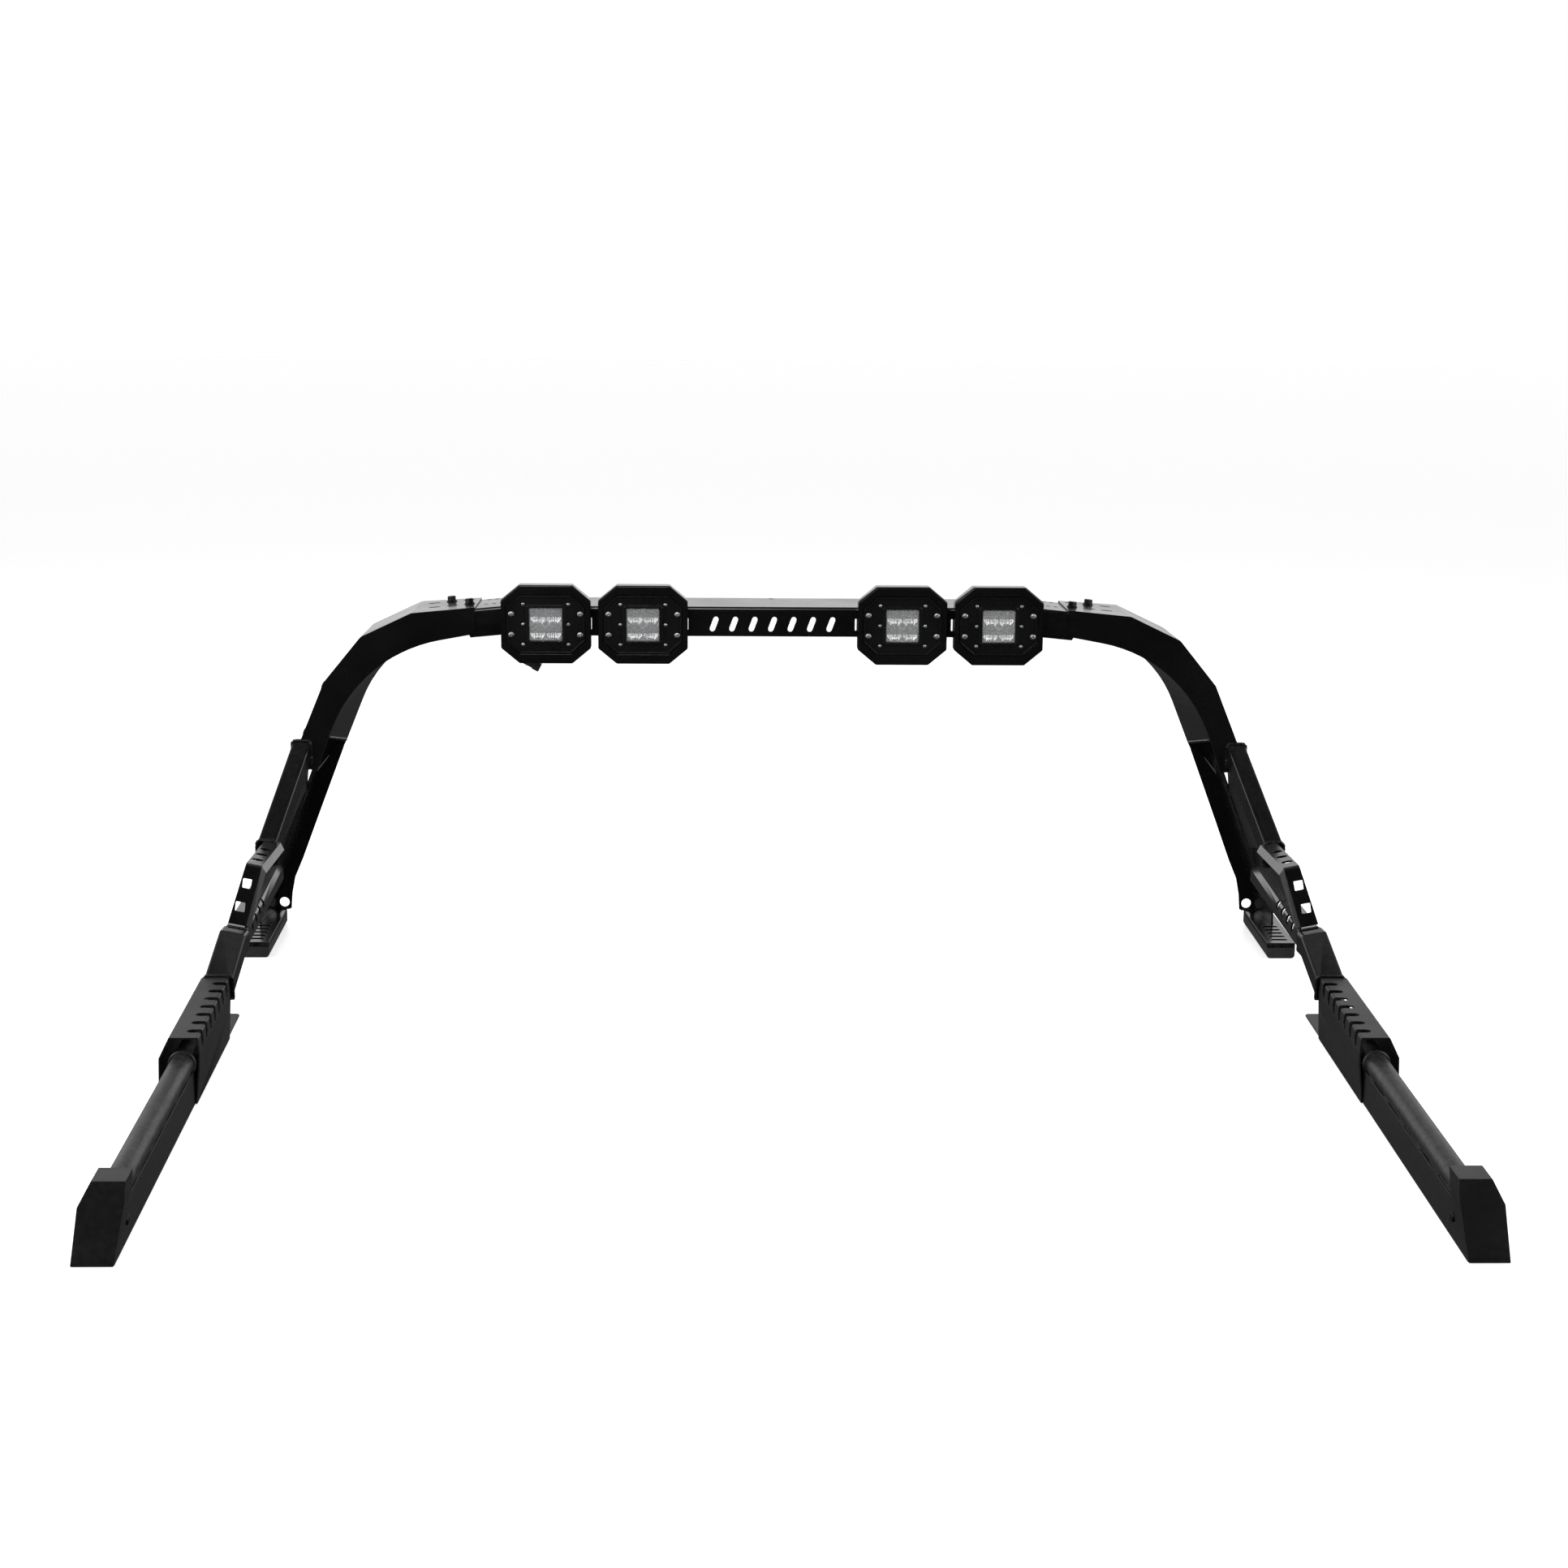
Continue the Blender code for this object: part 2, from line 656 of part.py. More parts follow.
def draw_knee(mesh):
    """A level shelf that bends down into the window plate, with a slanted lip on its inboard edge."""
    path = rounded([(KNEE_BACK, KNEE_TOP), (KNEE_FRONT, KNEE_TOP + 0.001), KNEE_END], 0.012, 5)
    directions = []
    for i in range(len(path)):
        before = Vector(path[max(i - 1, 0)])
        after = Vector(path[min(i + 1, len(path) - 1)])
        directions.append((after - before).normalized())
    rings = []
    for (y, z), direction in zip(path, directions):
        drop = min(1.0, max(0.0, (KNEE_TOP - z) / (KNEE_TOP - KNEE_END[1])))
        inner = 0.7858 + 0.0138 * drop
        outer = 0.8098 + 0.0168 * drop
        lip = 0.0105 - 0.004 * drop
        section = [(outer, 0), (inner, 0), (inner - 0.0055, lip), (inner - 0.0030, lip + 0.0015),
                   (inner + 0.0015, PLATE), (outer, PLATE)]
        down = Vector((-direction.y, direction.x))
        rings.append([(x, y + down.x * d, z + down.y * d + knee_rise(x)) for x, d in section])
    loft(mesh, rings)


def cut_knee(mesh):
    """Three slots across the shelf and two windows near the outboard edge of the front plate."""
    for y in (-0.230, -0.265, -0.300):
        cutter(mesh, slot_outline(0.013, 0.018, 4), (0.7985, y, KNEE_TOP), (1, 0, 0), (0, 1, 0), -0.01, 0.01)
    run = Vector((0, KNEE_END[0] - KNEE_FRONT, KNEE_END[1] - KNEE_TOP - 0.001))
    for share, x in KNEE_WINDOWS:
        place = Vector((x, KNEE_FRONT, KNEE_TOP + 0.001 + knee_rise(x))) + run * share
        opening = rounded_box(0.0148, 0.0175, 0.002, 2)
        cutter(mesh, opening, place, (1, 0, KNEE_ROLL), run, -0.02, 0.02)


def draw_gusset(mesh):
    """The plate between brace tube, shelf and leg, a flat polygon seen from the side."""
    corners = [
        (0.0545, 0.262, 0.7785), (0.0545, 0.3030, 0.7740), (-0.008, 0.3030, 0.7770),
        (-0.025, 0.2920, 0.7800), (-0.1675, 0.1828, 0.8000), (-0.1725, 0.1828, 0.8000), (-0.1725, 0.2155, 0.7960), (-0.327, 0.2165, 0.7960),
        (-0.3840, 0.1500, 0.8010), (-0.3840, 0.1342, 0.8030), (0.0545, 0.1342, 0.8275),
    ]
    loft(mesh, [[(x + thickness, y, z) for y, z, x in corners] for thickness in (0, PLATE)])


def bracket_ring(y, outer_x, bend_x, middle_x, low_x):
    path = [(outer_x, BRACKET_TOP), (bend_x, BRACKET_TOP), (middle_x, 0.1225), (low_x, 0.1035)]
    return along(bent_sheet(path, PLATE), y)


def draw_lower_bracket(mesh):
    loft(mesh, [
        bracket_ring(FLANGE_FRONT - GAP, 0.852, 0.832, 0.8240, 0.8230),
        bracket_ring(LOWER_TUBE_BACK + GAP, 0.8365, 0.8005, 0.7985, 0.8040),
    ])


def cut_lower_bracket(mesh):
    """Four slots that wrap from the top over the bend."""
    for y in (-0.205, -0.250, -0.295, -0.340):
        bend = 0.832 + (y - FLANGE_FRONT) * 0.0711
        outline = rounded_box(0.015, 0.020, 0.006, 3)
        cutter(mesh, outline, (bend - 0.004, y, 0.127), (0, 1, 0), (0, 0, 1), -0.015, 0.015)


# ---------------------------------------------------------------- bed rails

def toe(y, start=RAIL_FRONT):
    return TOE * (y - start)


def draw_side_rail(mesh):
    inner, outer = RAIL_INNER, RAIL_INNER + RAIL_BASE
    path = [(outer, 0), (inner, 0), (inner, RAIL_WALL)]
    section = bent_sheet(path, -PLATE)
    loft(mesh, [along(section, y, toe(y)) for y in (RAIL_FRONT + PLATE + GAP, RAIL_BACK)])


def cut_rail_wall(mesh):
    """Takes the upright wall away behind the cover."""
    wall = [(0.79, PLATE), (0.90, PLATE), (0.90, 0.06), (0.79, 0.06)]
    loft(mesh, [along(wall, y) for y in (COVER_SPAN[1] - 0.005, RAIL_BACK + 0.01)])


def cut_rail_corner(mesh):
    corner = [(0.80, RAIL_BACK - 0.020), (0.8225, RAIL_BACK + 0.002), (0.80, RAIL_BACK + 0.01)]
    loft(mesh, [[(x, y, z) for x, y in corner] for z in (-0.01, 0.01)])


def draw_rail_tube(mesh):
    rings = []
    for y in (RAIL_FRONT + PLATE + GAP, COVER_SPAN[1] - 0.004):
        centre = RAIL_INNER + TUBE_AXIS + toe(y)
        rings.append(along(circle(TUBE_RADIUS, 32), y, centre, TUBE_AXIS_HEIGHT))
    for y in (COVER_SPAN[1] - 0.004, RAIL_FRONT + PLATE + GAP):
        centre = RAIL_INNER + TUBE_AXIS + toe(y)
        rings.append(along(circle(TUBE_RADIUS - TUBE_WALL, 32), y, centre, TUBE_AXIS_HEIGHT))
    loft(mesh, rings, closed=True)


def cover_shift(y):
    """The cover leans outboard of the rail's own line, more at its back end."""
    start, end = COVER_SPAN
    return COVER_LEAN[0] + (COVER_LEAN[1] - COVER_LEAN[0]) * (y - start) / (end - start)


def cover_path(y):
    shift = cover_shift(y)
    path = [(COVER_SEAT, 0.0006)]
    path += [(x + shift, z) for x, z in COVER_BENDS]
    return path[:3] + rounded(path[2:6], 0.003, 3)[1:-1] + path[5:]


def draw_cover(mesh):
    rings = []
    for y in COVER_SPAN:
        rings.append(along(bent_sheet(cover_path(y), -COVER_SHEET), y, toe(y, COVER_SPAN[0])))
    loft(mesh, rings)


def cover_slots():
    """The inboard bend's X and the Y of each slot."""
    for k in range(COVER_SLOTS):
        y = COVER_SPAN[0] + 0.031 + COVER_SLOT_PITCH * k
        yield COVER_EDGE[0] + cover_shift(y) + toe(y, COVER_SPAN[0]), y


def cut_cover_top(mesh):
    for x, y in cover_slots():
        cutter(mesh, slot_outline(0.014, 0.040, 4), (x, y, COVER_EDGE[1]), (1, 0, 0), (0, 1, 0), -0.0065, 0.01)


def cut_cover_side(mesh):
    """The same slots where they wrap over the bend and down the inboard side."""
    for x, y in cover_slots():
        cutter(mesh, slot_outline(0.014, 0.040, 4), (x - 0.001, y, 0.0925), (0, 0, 1), (0, 1, 0), -0.0065, 0.0065)


def cap_path(inset=0.0):
    path = [(0.7765, 0), (0.7603, 0.078), (0.758, 0.103), (0.797, 0.103), (0.8143, 0.0715), (0.8255, 0)]
    return offset(path, -inset)


def draw_cap(mesh):
    loft(mesh, [along(cap_path(), y, toe(y)) for y in (RAIL_FRONT, CAP_BACK)])


def cut_cap(mesh):
    """Hollows the cap from the back and below and trims the foot of its inboard wall."""
    hollow = cap_path(PLATE)
    hollow = [(0.7795, -0.01)] + hollow + [(0.8226, -0.01)]
    loft(mesh, [along(hollow, y, toe(y)) for y in (RAIL_FRONT + PLATE, CAP_BACK + 0.01)])


def cut_cap_wall(mesh):
    foot = [(0.750, -0.01), (0.7850, -0.01), (0.7775, 0.024), (0.750, 0.024)]
    loft(mesh, [along(foot, y) for y in (RAIL_FRONT + PLATE, CAP_BACK + 0.01)])


# ---------------------------------------------------------------- light pods

def pod_ring(size, chamfer, y):
    return along(box_outline(*size, *chamfer), y)


def draw_housing(mesh):
    """An octagonal block with a shallow pocket for the bezel and an opening through it."""
    lip = 0.0015
    pocket = (BEZEL_SIZE[0] + BEZEL_FIT, BEZEL_SIZE[1] + BEZEL_FIT)
    rings = [
        pod_ring(POD_SIZE, POD_CHAMFER, -0.0006),
        pod_ring(POD_SIZE, POD_CHAMFER, POD_FRONT + lip),
        pod_ring((POD_SIZE[0] - 2 * lip, POD_SIZE[1] - 2 * lip), POD_CHAMFER, POD_FRONT),
        pod_ring(pocket, BEZEL_CHAMFER, POD_FRONT),
        pod_ring(pocket, BEZEL_CHAMFER, POD_FRONT + 0.0040),
        pod_ring((BODY_SIZE[0] + 0.001, BODY_SIZE[1] + 0.001), (0.006, 0.006), POD_FRONT + 0.0040),
        pod_ring((BODY_SIZE[0] + 0.001, BODY_SIZE[1] + 0.001), (0.006, 0.006), -0.0006),
    ]
    loft(mesh, rings, closed=True)


def draw_bezel(mesh):
    """A flat frame with a raised rim outside and around the lens."""
    back, face, rim = POD_FRONT + 0.0037, POD_FRONT + 0.0012, POD_FRONT - 0.0012
    window = LENS_SIZE + 0.0008
    inside = (BEZEL_SIZE[0] - 2 * BEZEL_RIM, BEZEL_SIZE[1] - 2 * BEZEL_RIM)
    inside_chamfer = (BEZEL_CHAMFER[0] - 0.0015, BEZEL_CHAMFER[1] - 0.0015)
    rings = [
        pod_ring(BEZEL_SIZE, BEZEL_CHAMFER, back),
        pod_ring(BEZEL_SIZE, BEZEL_CHAMFER, rim),
        pod_ring(inside, inside_chamfer, rim),
        pod_ring(inside, inside_chamfer, face),
        pod_ring((window + 0.010, window + 0.010), (0.003, 0.003), face),
        pod_ring((window + 0.008, window + 0.008), (0.003, 0.003), rim),
        pod_ring((window, window), (0.001, 0.001), rim),
        pod_ring((window, window), (0.001, 0.001), back),
    ]
    loft(mesh, rings, closed=True)


def draw_light_body(mesh):
    """The die-cast box behind the bezel, with a well for the reflector."""
    front, back, floor = POD_FRONT + 0.0043, -0.0040, -0.0090
    well = LENS_SIZE + 0.0008
    loft(mesh, [
        pod_ring((BODY_SIZE[0] - 0.008, BODY_SIZE[1] - 0.008), (0.005, 0.005), back),
        pod_ring(BODY_SIZE, (0.006, 0.006), back - 0.004),
        pod_ring(BODY_SIZE, (0.006, 0.006), front),
        pod_ring((well, well), (0.001, 0.001), front),
        pod_ring((well, well), (0.001, 0.001), floor),
    ])


def draw_reflector(mesh):
    size = LENS_SIZE - 0.0004
    loft(mesh, [pod_ring((size, size), (0.001, 0.001), y) for y in (-0.0093, POD_FRONT + 0.0037)])


def cut_reflector(mesh):
    """Four square-mouthed cups, one in front of each emitter."""
    quarter = LENS_SIZE / 4 - 0.0004
    cups = ((0.0242, POD_FRONT), (0.0234, POD_FRONT + 0.0042), (0.0175, -0.0150), (0.009, -0.0110))
    for x in (-quarter, quarter):
        for z in (-quarter, quarter):
            rings = []
            for side, y in cups:
                rings.append(along(rounded_box(side, side, side * 0.18, 2), y, x, z))
            loft(mesh, rings)


def draw_lens(mesh):
    back, front = POD_FRONT + 0.0034, POD_FRONT + 0.0004
    edge = 0.0012
    loft(mesh, [
        pod_ring((LENS_SIZE, LENS_SIZE), (0.001, 0.001), back),
        pod_ring((LENS_SIZE, LENS_SIZE), (0.001, 0.001), front + edge),
        pod_ring((LENS_SIZE - 2 * edge, LENS_SIZE - 2 * edge), (0.001, 0.001), front),
    ])


def draw_connector(mesh):
    """A two-pole plug housing, stepped at its cable end, hanging aslant behind the outer left pod."""
    slant = math.radians(CONNECTOR_SLANT)
    forward = (math.cos(slant), 0, math.sin(slant))
    across_plug = (0, 1, 0)
    tail, shell, collar, nose = (0.007, 0.007), (0.012, 0.012), (0.015, 0.014), (0.013, 0.012)
    profile = ((tail, -0.017), (tail, -0.012), (shell, -0.012), (shell, 0.005),
               (collar, 0.005), (collar, 0.016), (nose, 0.017))
    up = Vector(forward).cross(Vector(across_plug))
    rings = []
    for size, height in profile:
        rings.append(facing(rounded_box(*size, 0.0015, 2), CONNECTOR_PLACE, across_plug, up, height))
    loft(mesh, rings)


# ---------------------------------------------------------------- assembly

def at(draw, x, z):
    """The same drawing moved in the plane of the hoop."""
    def moved(mesh):
        draw(mesh)
        bmesh.ops.translate(mesh, vec=(x, 0, z), verts=mesh.verts)
    return moved


def build_crossbar_body():
    body = Body("crossbar_frame", (0, 0, 0))
    body.add("crossbar", "powder_coat", draw_crossbar, [cut_crossbar, cut_wire_hole])
    for number, x in enumerate(POD_PLACES, 1):
        body.add(f"pod_housing_{number}", "pod_coat", at(draw_housing, x, POD_HEIGHT))
        body.add(f"light_bezel_{number}", "cast_black", at(draw_bezel, x, POD_HEIGHT))
        body.add(f"light_body_{number}", "cast_black", at(draw_light_body, x, POD_HEIGHT))
        body.add(f"reflector_{number}", "reflector_chrome", at(draw_reflector, x, POD_HEIGHT),
                 [at(cut_reflector, x, POD_HEIGHT)])
        body.add(f"lens_{number}", "lens_clear", at(draw_lens, x, POD_HEIGHT))
    body.add("light_connector", "black_plastic", draw_connector)
    for name, side in (("left", -1), ("right", 1)):
        half = Body(f"clamp_{name}", slot_centre(0, 0), side)
        half.add(f"slide_bar_{name}", "powder_coat", draw_slide_bar, [cut_slide_bar])
        for row, (place, index) in enumerate(zip(("front", "back"), CLAMPED_SLOTS)):
            centre = slot_centre(row, index) + Vector((0, 0, ARM_RISE))
            half.add(f"clamp_bolt_{place}_{name}", "black_steel",
                     lambda mesh, centre=centre: draw_clamp_bolt(mesh, centre))


def build_side_body(name, side):
    body = Body(f"side_{name}", slot_centre(0, 0), side)

    arm_cuts = [cut_arm, cut_arm_sleeve, cut_arm_corner, cut_arm_openings, cut_arm_foot]
    body.add(f"arm_{name}", "powder_coat", draw_arm, arm_cuts, [draw_tongue])
    for place, (y, z) in zip(("upper", "lower"), PIVOT_BOLTS):
        centre = cheek_point(y, z)
        body.add(f"pivot_bolt_{place}_{name}", "black_steel",
                 lambda mesh, centre=centre: draw_pivot_bolt(mesh, centre))
    body.add(f"leg_channel_{name}", "powder_coat", draw_leg, [cut_leg])
    body.add(f"foot_base_{name}", "foot_rubber", draw_foot_base)
    body.add(f"foot_plate_{name}", "powder_coat", draw_foot_plate, [cut_foot_plate])
    body.add(f"upper_tube_{name}", "powder_coat", draw_upper_tube)
    body.add(f"knee_bracket_{name}", "powder_coat", draw_knee, [cut_knee])
    body.add(f"brace_gusset_{name}", "powder_coat", draw_gusset)
    body.add(f"lower_bracket_{name}", "powder_coat", draw_lower_bracket, [cut_lower_bracket])
    body.add(f"lower_tube_{name}", "powder_coat", draw_lower_tube)
    body.add(f"slotted_cover_{name}", "rail_coat", draw_cover, [cut_cover_top, cut_cover_side])
    body.add(f"side_rail_{name}", "rail_coat", draw_side_rail, [cut_rail_wall, cut_rail_corner])
    body.add(f"rail_tube_{name}", "rail_coat", draw_rail_tube)
    body.add(f"end_cap_{name}", "rail_coat", draw_cap, [cut_cap, cut_cap_wall])


for existing in list(bpy.data.objects):
    bpy.data.objects.remove(existing)
MATERIALS = {name: make_material(name) for name in COLOURS}
build_crossbar_body()
build_side_body("left", -1)
build_side_body("right", 1)
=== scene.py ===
"""Looks of the headache rack: materials, fasteners, weld beads, lamp optics, light and camera.

World frame as in the CAD: +X right, +Y towards the cab, +Z up, metres. The rack stands on Z = 0.
Pieces on the right-hand side are drawn at +X and mirrored for the left.
"""

import math
import random

import bmesh
import bpy
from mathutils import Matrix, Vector


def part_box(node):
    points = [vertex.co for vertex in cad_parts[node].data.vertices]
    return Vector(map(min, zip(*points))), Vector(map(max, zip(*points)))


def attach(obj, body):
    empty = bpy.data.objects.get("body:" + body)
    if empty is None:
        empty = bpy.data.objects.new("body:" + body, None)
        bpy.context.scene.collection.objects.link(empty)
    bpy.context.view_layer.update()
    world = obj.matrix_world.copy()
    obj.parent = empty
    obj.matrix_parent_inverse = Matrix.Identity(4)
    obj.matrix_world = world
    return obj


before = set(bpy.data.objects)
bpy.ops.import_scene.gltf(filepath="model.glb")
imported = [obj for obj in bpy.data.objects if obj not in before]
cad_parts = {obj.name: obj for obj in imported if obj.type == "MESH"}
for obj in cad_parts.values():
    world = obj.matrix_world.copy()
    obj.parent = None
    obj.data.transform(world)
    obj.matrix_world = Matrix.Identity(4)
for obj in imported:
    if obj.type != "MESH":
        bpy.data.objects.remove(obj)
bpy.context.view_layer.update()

# Where the hoop's front plane stands, from the crossbar's own box
HOOP_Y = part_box("crossbar")[0].y
SIDES = (("left", -1), ("right", 1))
PODS = (1, 2, 3, 4)
# How much the rails toe in, as X per metre of Y, and the Y of their front ends from the hoop
RAIL_TOE = 0.0418
RAIL_START = 1.357


# ---------------------------------------------------------------- material nodes

class Graph:
    """A material's node tree with short ways to add and join nodes."""

    def __init__(self, name):
        self.material = bpy.data.materials.new(name)
        self.material.use_nodes = True
        self.tree = self.material.node_tree
        self.shader = self.tree.nodes["Principled BSDF"]
        self.place = self.node("ShaderNodeTexCoord").outputs["Object"]

    def node(self, kind, **values):
        made = self.tree.nodes.new(kind)
        for key, value in values.items():
            setattr(made, key, value)
        return made

    def feed(self, target, source):
        if isinstance(source, bpy.types.NodeSocket):
            self.tree.links.new(source, target)
        else:
            target.default_value = source

    def noise(self, scale, detail=2.0, stretch=None, rough=0.5):
        made = self.node("ShaderNodeTexNoise")
        made.inputs["Scale"].default_value = scale
        made.inputs["Detail"].default_value = detail
        made.inputs["Roughness"].default_value = rough
        place = self.place
        if stretch:
            mapping = self.node("ShaderNodeMapping")
            mapping.inputs["Scale"].default_value = stretch
            self.feed(mapping.inputs["Vector"], self.place)
            place = mapping.outputs["Vector"]
        self.feed(made.inputs["Vector"], place)
        return made.outputs["Fac"]

    def spread(self, source, low, high, start=0.3, end=0.7):
        made = self.node("ShaderNodeMapRange")
        for name, value in zip(("Value", "From Min", "From Max", "To Min", "To Max"),
                               (source, start, end, low, high)):
            self.feed(made.inputs[name], value)
        return made.outputs["Result"]

    def maths(self, operation, first, second):
        made = self.node("ShaderNodeMath", operation=operation)
        made.use_clamp = operation == "MULTIPLY"
        self.feed(made.inputs[0], first)
        self.feed(made.inputs[1], second)
        return made.outputs[0]

    def mix(self, share, first, second):
        made = self.node("ShaderNodeMix", data_type="RGBA")
        self.feed(made.inputs["Factor"], share)
        for name, value in (("A", first), ("B", second)):
            socket = [s for s in made.inputs if s.name == name and s.type == "RGBA"][0]
            self.feed(socket, value if isinstance(value, bpy.types.NodeSocket) else (*value, 1))
        return [s for s in made.outputs if s.type == "RGBA"][0]

    def bump(self, *layers):
        """Stacks (height, distance in metres) layers into one normal."""
        normal = None
        for height, distance in layers:
            made = self.node("ShaderNodeBump")
            made.inputs["Strength"].default_value = 1.0
            made.inputs["Distance"].default_value = distance
            self.feed(made.inputs["Height"], height)
            if normal:
                self.feed(made.inputs["Normal"], normal)
            normal = made.outputs["Normal"]
        self.feed(self.shader.inputs["Normal"], normal)

    def facing_up(self):
        """0 on upright and hanging faces, 1 on level top faces."""
        split = self.node("ShaderNodeSeparateXYZ")
        self.feed(split.inputs[0], self.node("ShaderNodeNewGeometry").outputs["Normal"])
        return self.spread(split.outputs["Z"], 0.0, 1.0, 0.3, 0.95)

    def edges(self):
        """1 along sharp convex edges, where handling rubs the coat."""
        return self.spread(self.node("ShaderNodeNewGeometry").outputs["Pointiness"], 0.0, 1.0, 0.53, 0.60)


def painted(name, colour, rough, peel, coat=0.0, metallic=0.0):
    """A baked powder or paint film: orange peel, a little dust on top and rubbed edges."""
    graph = Graph(name)
    shader = graph.shader.inputs
    cloud = graph.noise(9.0, 4.0)
    fine = graph.noise(620.0, 3.0)
    worn = tuple(c * 2.6 + 0.010 for c in colour)
    dusty = tuple(c + 0.005 for c in colour)
    tone = graph.mix(graph.spread(cloud, 0.0, 1.0, 0.35, 0.68), colour, tuple(c * 1.35 for c in colour))
    patches = graph.spread(graph.noise(38.0, 5.0), 0.0, 0.55, 0.45, 0.75)
    dust = graph.maths("MULTIPLY", graph.facing_up(), patches)
    tone = graph.mix(dust, tone, dusty)
    rub = graph.maths("MULTIPLY", graph.edges(), graph.spread(graph.noise(120.0, 4.0), 0.0, 0.8, 0.42, 0.62))
    tone = graph.mix(rub, tone, worn)
    graph.feed(shader["Base Color"], tone)
    base = graph.spread(cloud, rough - 0.03, rough + 0.05)
    graph.feed(shader["Roughness"], graph.maths("ADD", base, graph.spread(fine, -0.02, 0.03)))
    shader["Metallic"].default_value = metallic
    shader["Coat Weight"].default_value = coat
    shader["Coat Roughness"].default_value = 0.12
    graph.bump((graph.noise(260.0, 2.0), peel), (fine, peel * 0.35))
    return graph.material


def metal(name, colour, rough, streak=0.00001):
    """Plated or blued steel: fine turning streaks and cloudy roughness."""
    graph = Graph(name)
    shader = graph.shader.inputs
    cloud = graph.noise(160.0, 4.0)
    lines = graph.noise(900.0, 2.0, stretch=(1.0, 1.0, 6.0))
    dull = tuple(c * 0.72 for c in colour)
    graph.feed(shader["Base Color"], graph.mix(graph.spread(cloud, 0.0, 1.0), colour, dull))
    graph.feed(shader["Roughness"], graph.spread(cloud, rough - 0.06, rough + 0.08))
    shader["Metallic"].default_value = 1.0
    graph.bump((lines, streak))
    return graph.material


def moulded(name, colour, rough, grain, scale):
    """Rubber or plastic with a moulded grain and scuffs."""
    graph = Graph(name)
    shader = graph.shader.inputs
    cloud = graph.noise(22.0, 5.0)
    cells = graph.node("ShaderNodeTexVoronoi")
    cells.inputs["Scale"].default_value = scale
    graph.feed(cells.inputs["Vector"], graph.place)
    scuff = graph.spread(graph.noise(90.0, 6.0, stretch=(1.0, 5.0, 1.0)), 0.0, 0.5, 0.56, 0.72)
    tone = graph.mix(graph.spread(cloud, 0.0, 1.0), colour, tuple(c * 1.5 for c in colour))
    graph.feed(shader["Base Color"], graph.mix(scuff, tone, tuple(c + 0.03 for c in colour)))
    graph.feed(shader["Roughness"], graph.spread(cloud, rough - 0.06, rough + 0.08))
    graph.bump((cells.outputs["Distance"], grain), (graph.noise(1400.0, 2.0), grain * 0.5))
    return graph.material


def chrome(name):
    """Vacuum-metallised plastic with a faint haze."""
    graph = Graph(name)
    shader = graph.shader.inputs
    haze = graph.noise(240.0, 4.0)
    bright, dull = (0.62, 0.625, 0.635), (0.50, 0.505, 0.515)
    graph.feed(shader["Base Color"], graph.mix(graph.spread(haze, 0.0, 1.0), bright, dull))
    graph.feed(shader["Roughness"], graph.spread(haze, 0.20, 0.30))
    shader["Metallic"].default_value = 1.0
    graph.bump((graph.noise(500.0, 2.0), 0.000003))
    return graph.material


def clear(name):
    """Hard-coated polycarbonate, see-through by alpha so that light reaches the mirrors behind."""
    graph = Graph(name)
    shader = graph.shader.inputs
    shader["Alpha"].default_value = 0.10
    shader["IOR"].default_value = 1.45
    haze = graph.noise(60.0, 5.0)
    clean, hazy = (0.97, 0.98, 0.98), (0.92, 0.94, 0.95)
    graph.feed(shader["Base Color"], graph.mix(graph.spread(haze, 0.0, 1.0), clean, hazy))
    graph.feed(shader["Roughness"], graph.spread(haze, 0.0, 0.04))
    graph.bump((graph.noise(45.0, 2.0), 0.000004))
    return graph.material


MATERIALS = {
    "powder_coat": painted("powder_coat_film", (0.0026, 0.0026, 0.0029), 0.21, 0.000016, coat=0.2),
    "rail_coat": painted("rail_coat_film", (0.0060, 0.0060, 0.0064), 0.42, 0.000024),
    "pod_coat": painted("pod_coat_film", (0.0028, 0.0028, 0.0030), 0.20, 0.000014, coat=0.2),
    "cast_black": painted("cast_black_film", (0.0032, 0.0032, 0.0034), 0.27, 0.000020),
    "reflector_chrome": chrome("reflector_metallised"),
    "lens_clear": clear("lens_polycarbonate"),
    "zinc_steel": metal("zinc_plated", (0.92, 0.92, 0.93), 0.40),
    "black_steel": metal("black_oxide", (0.050, 0.049, 0.052), 0.34),
    "black_plastic": moulded("black_nylon", (0.012, 0.012, 0.012), 0.45, 0.00004, 1500.0),
    "foot_rubber": moulded("foot_rubber_grain", (0.013, 0.013, 0.013), 0.62, 0.00012, 700.0),
}


# ---------------------------------------------------------------- shapes

def circle(radius, steps=24):
    return [(radius * math.cos(math.tau * k / steps), radius * math.sin(math.tau * k / steps))
            for k in range(steps)]


def hexagon(across_flats, steps=24):
    """Points on a hexagon's edge at the same angles as the circle's."""
    outline = []
    for k in range(steps):
        angle = math.tau * k / steps
        from_flat = (angle + math.pi / 6) % (math.pi / 3) - math.pi / 6
        reach = across_flats / 2 / math.cos(from_flat)
        outline.append((reach * math.cos(angle), reach * math.sin(angle)))
    return outline


def loft(shape, rings, closed=False):
    """Skins rings of equal length, with end caps unless the last ring joins the first."""
    rows = [[shape.verts.new(p) for p in ring] for ring in rings]
    pairs = list(zip(rows, rows[1:]))
    if closed:
        pairs.append((rows[-1], rows[0]))
    for near, far in pairs:
        for i in range(len(near)):
            j = (i + 1) % len(near)
            shape.faces.new((near[i], near[j], far[j], far[i]))
    if not closed:
        shape.faces.new(rows[0][::-1])
        shape.faces.new(rows[-1])


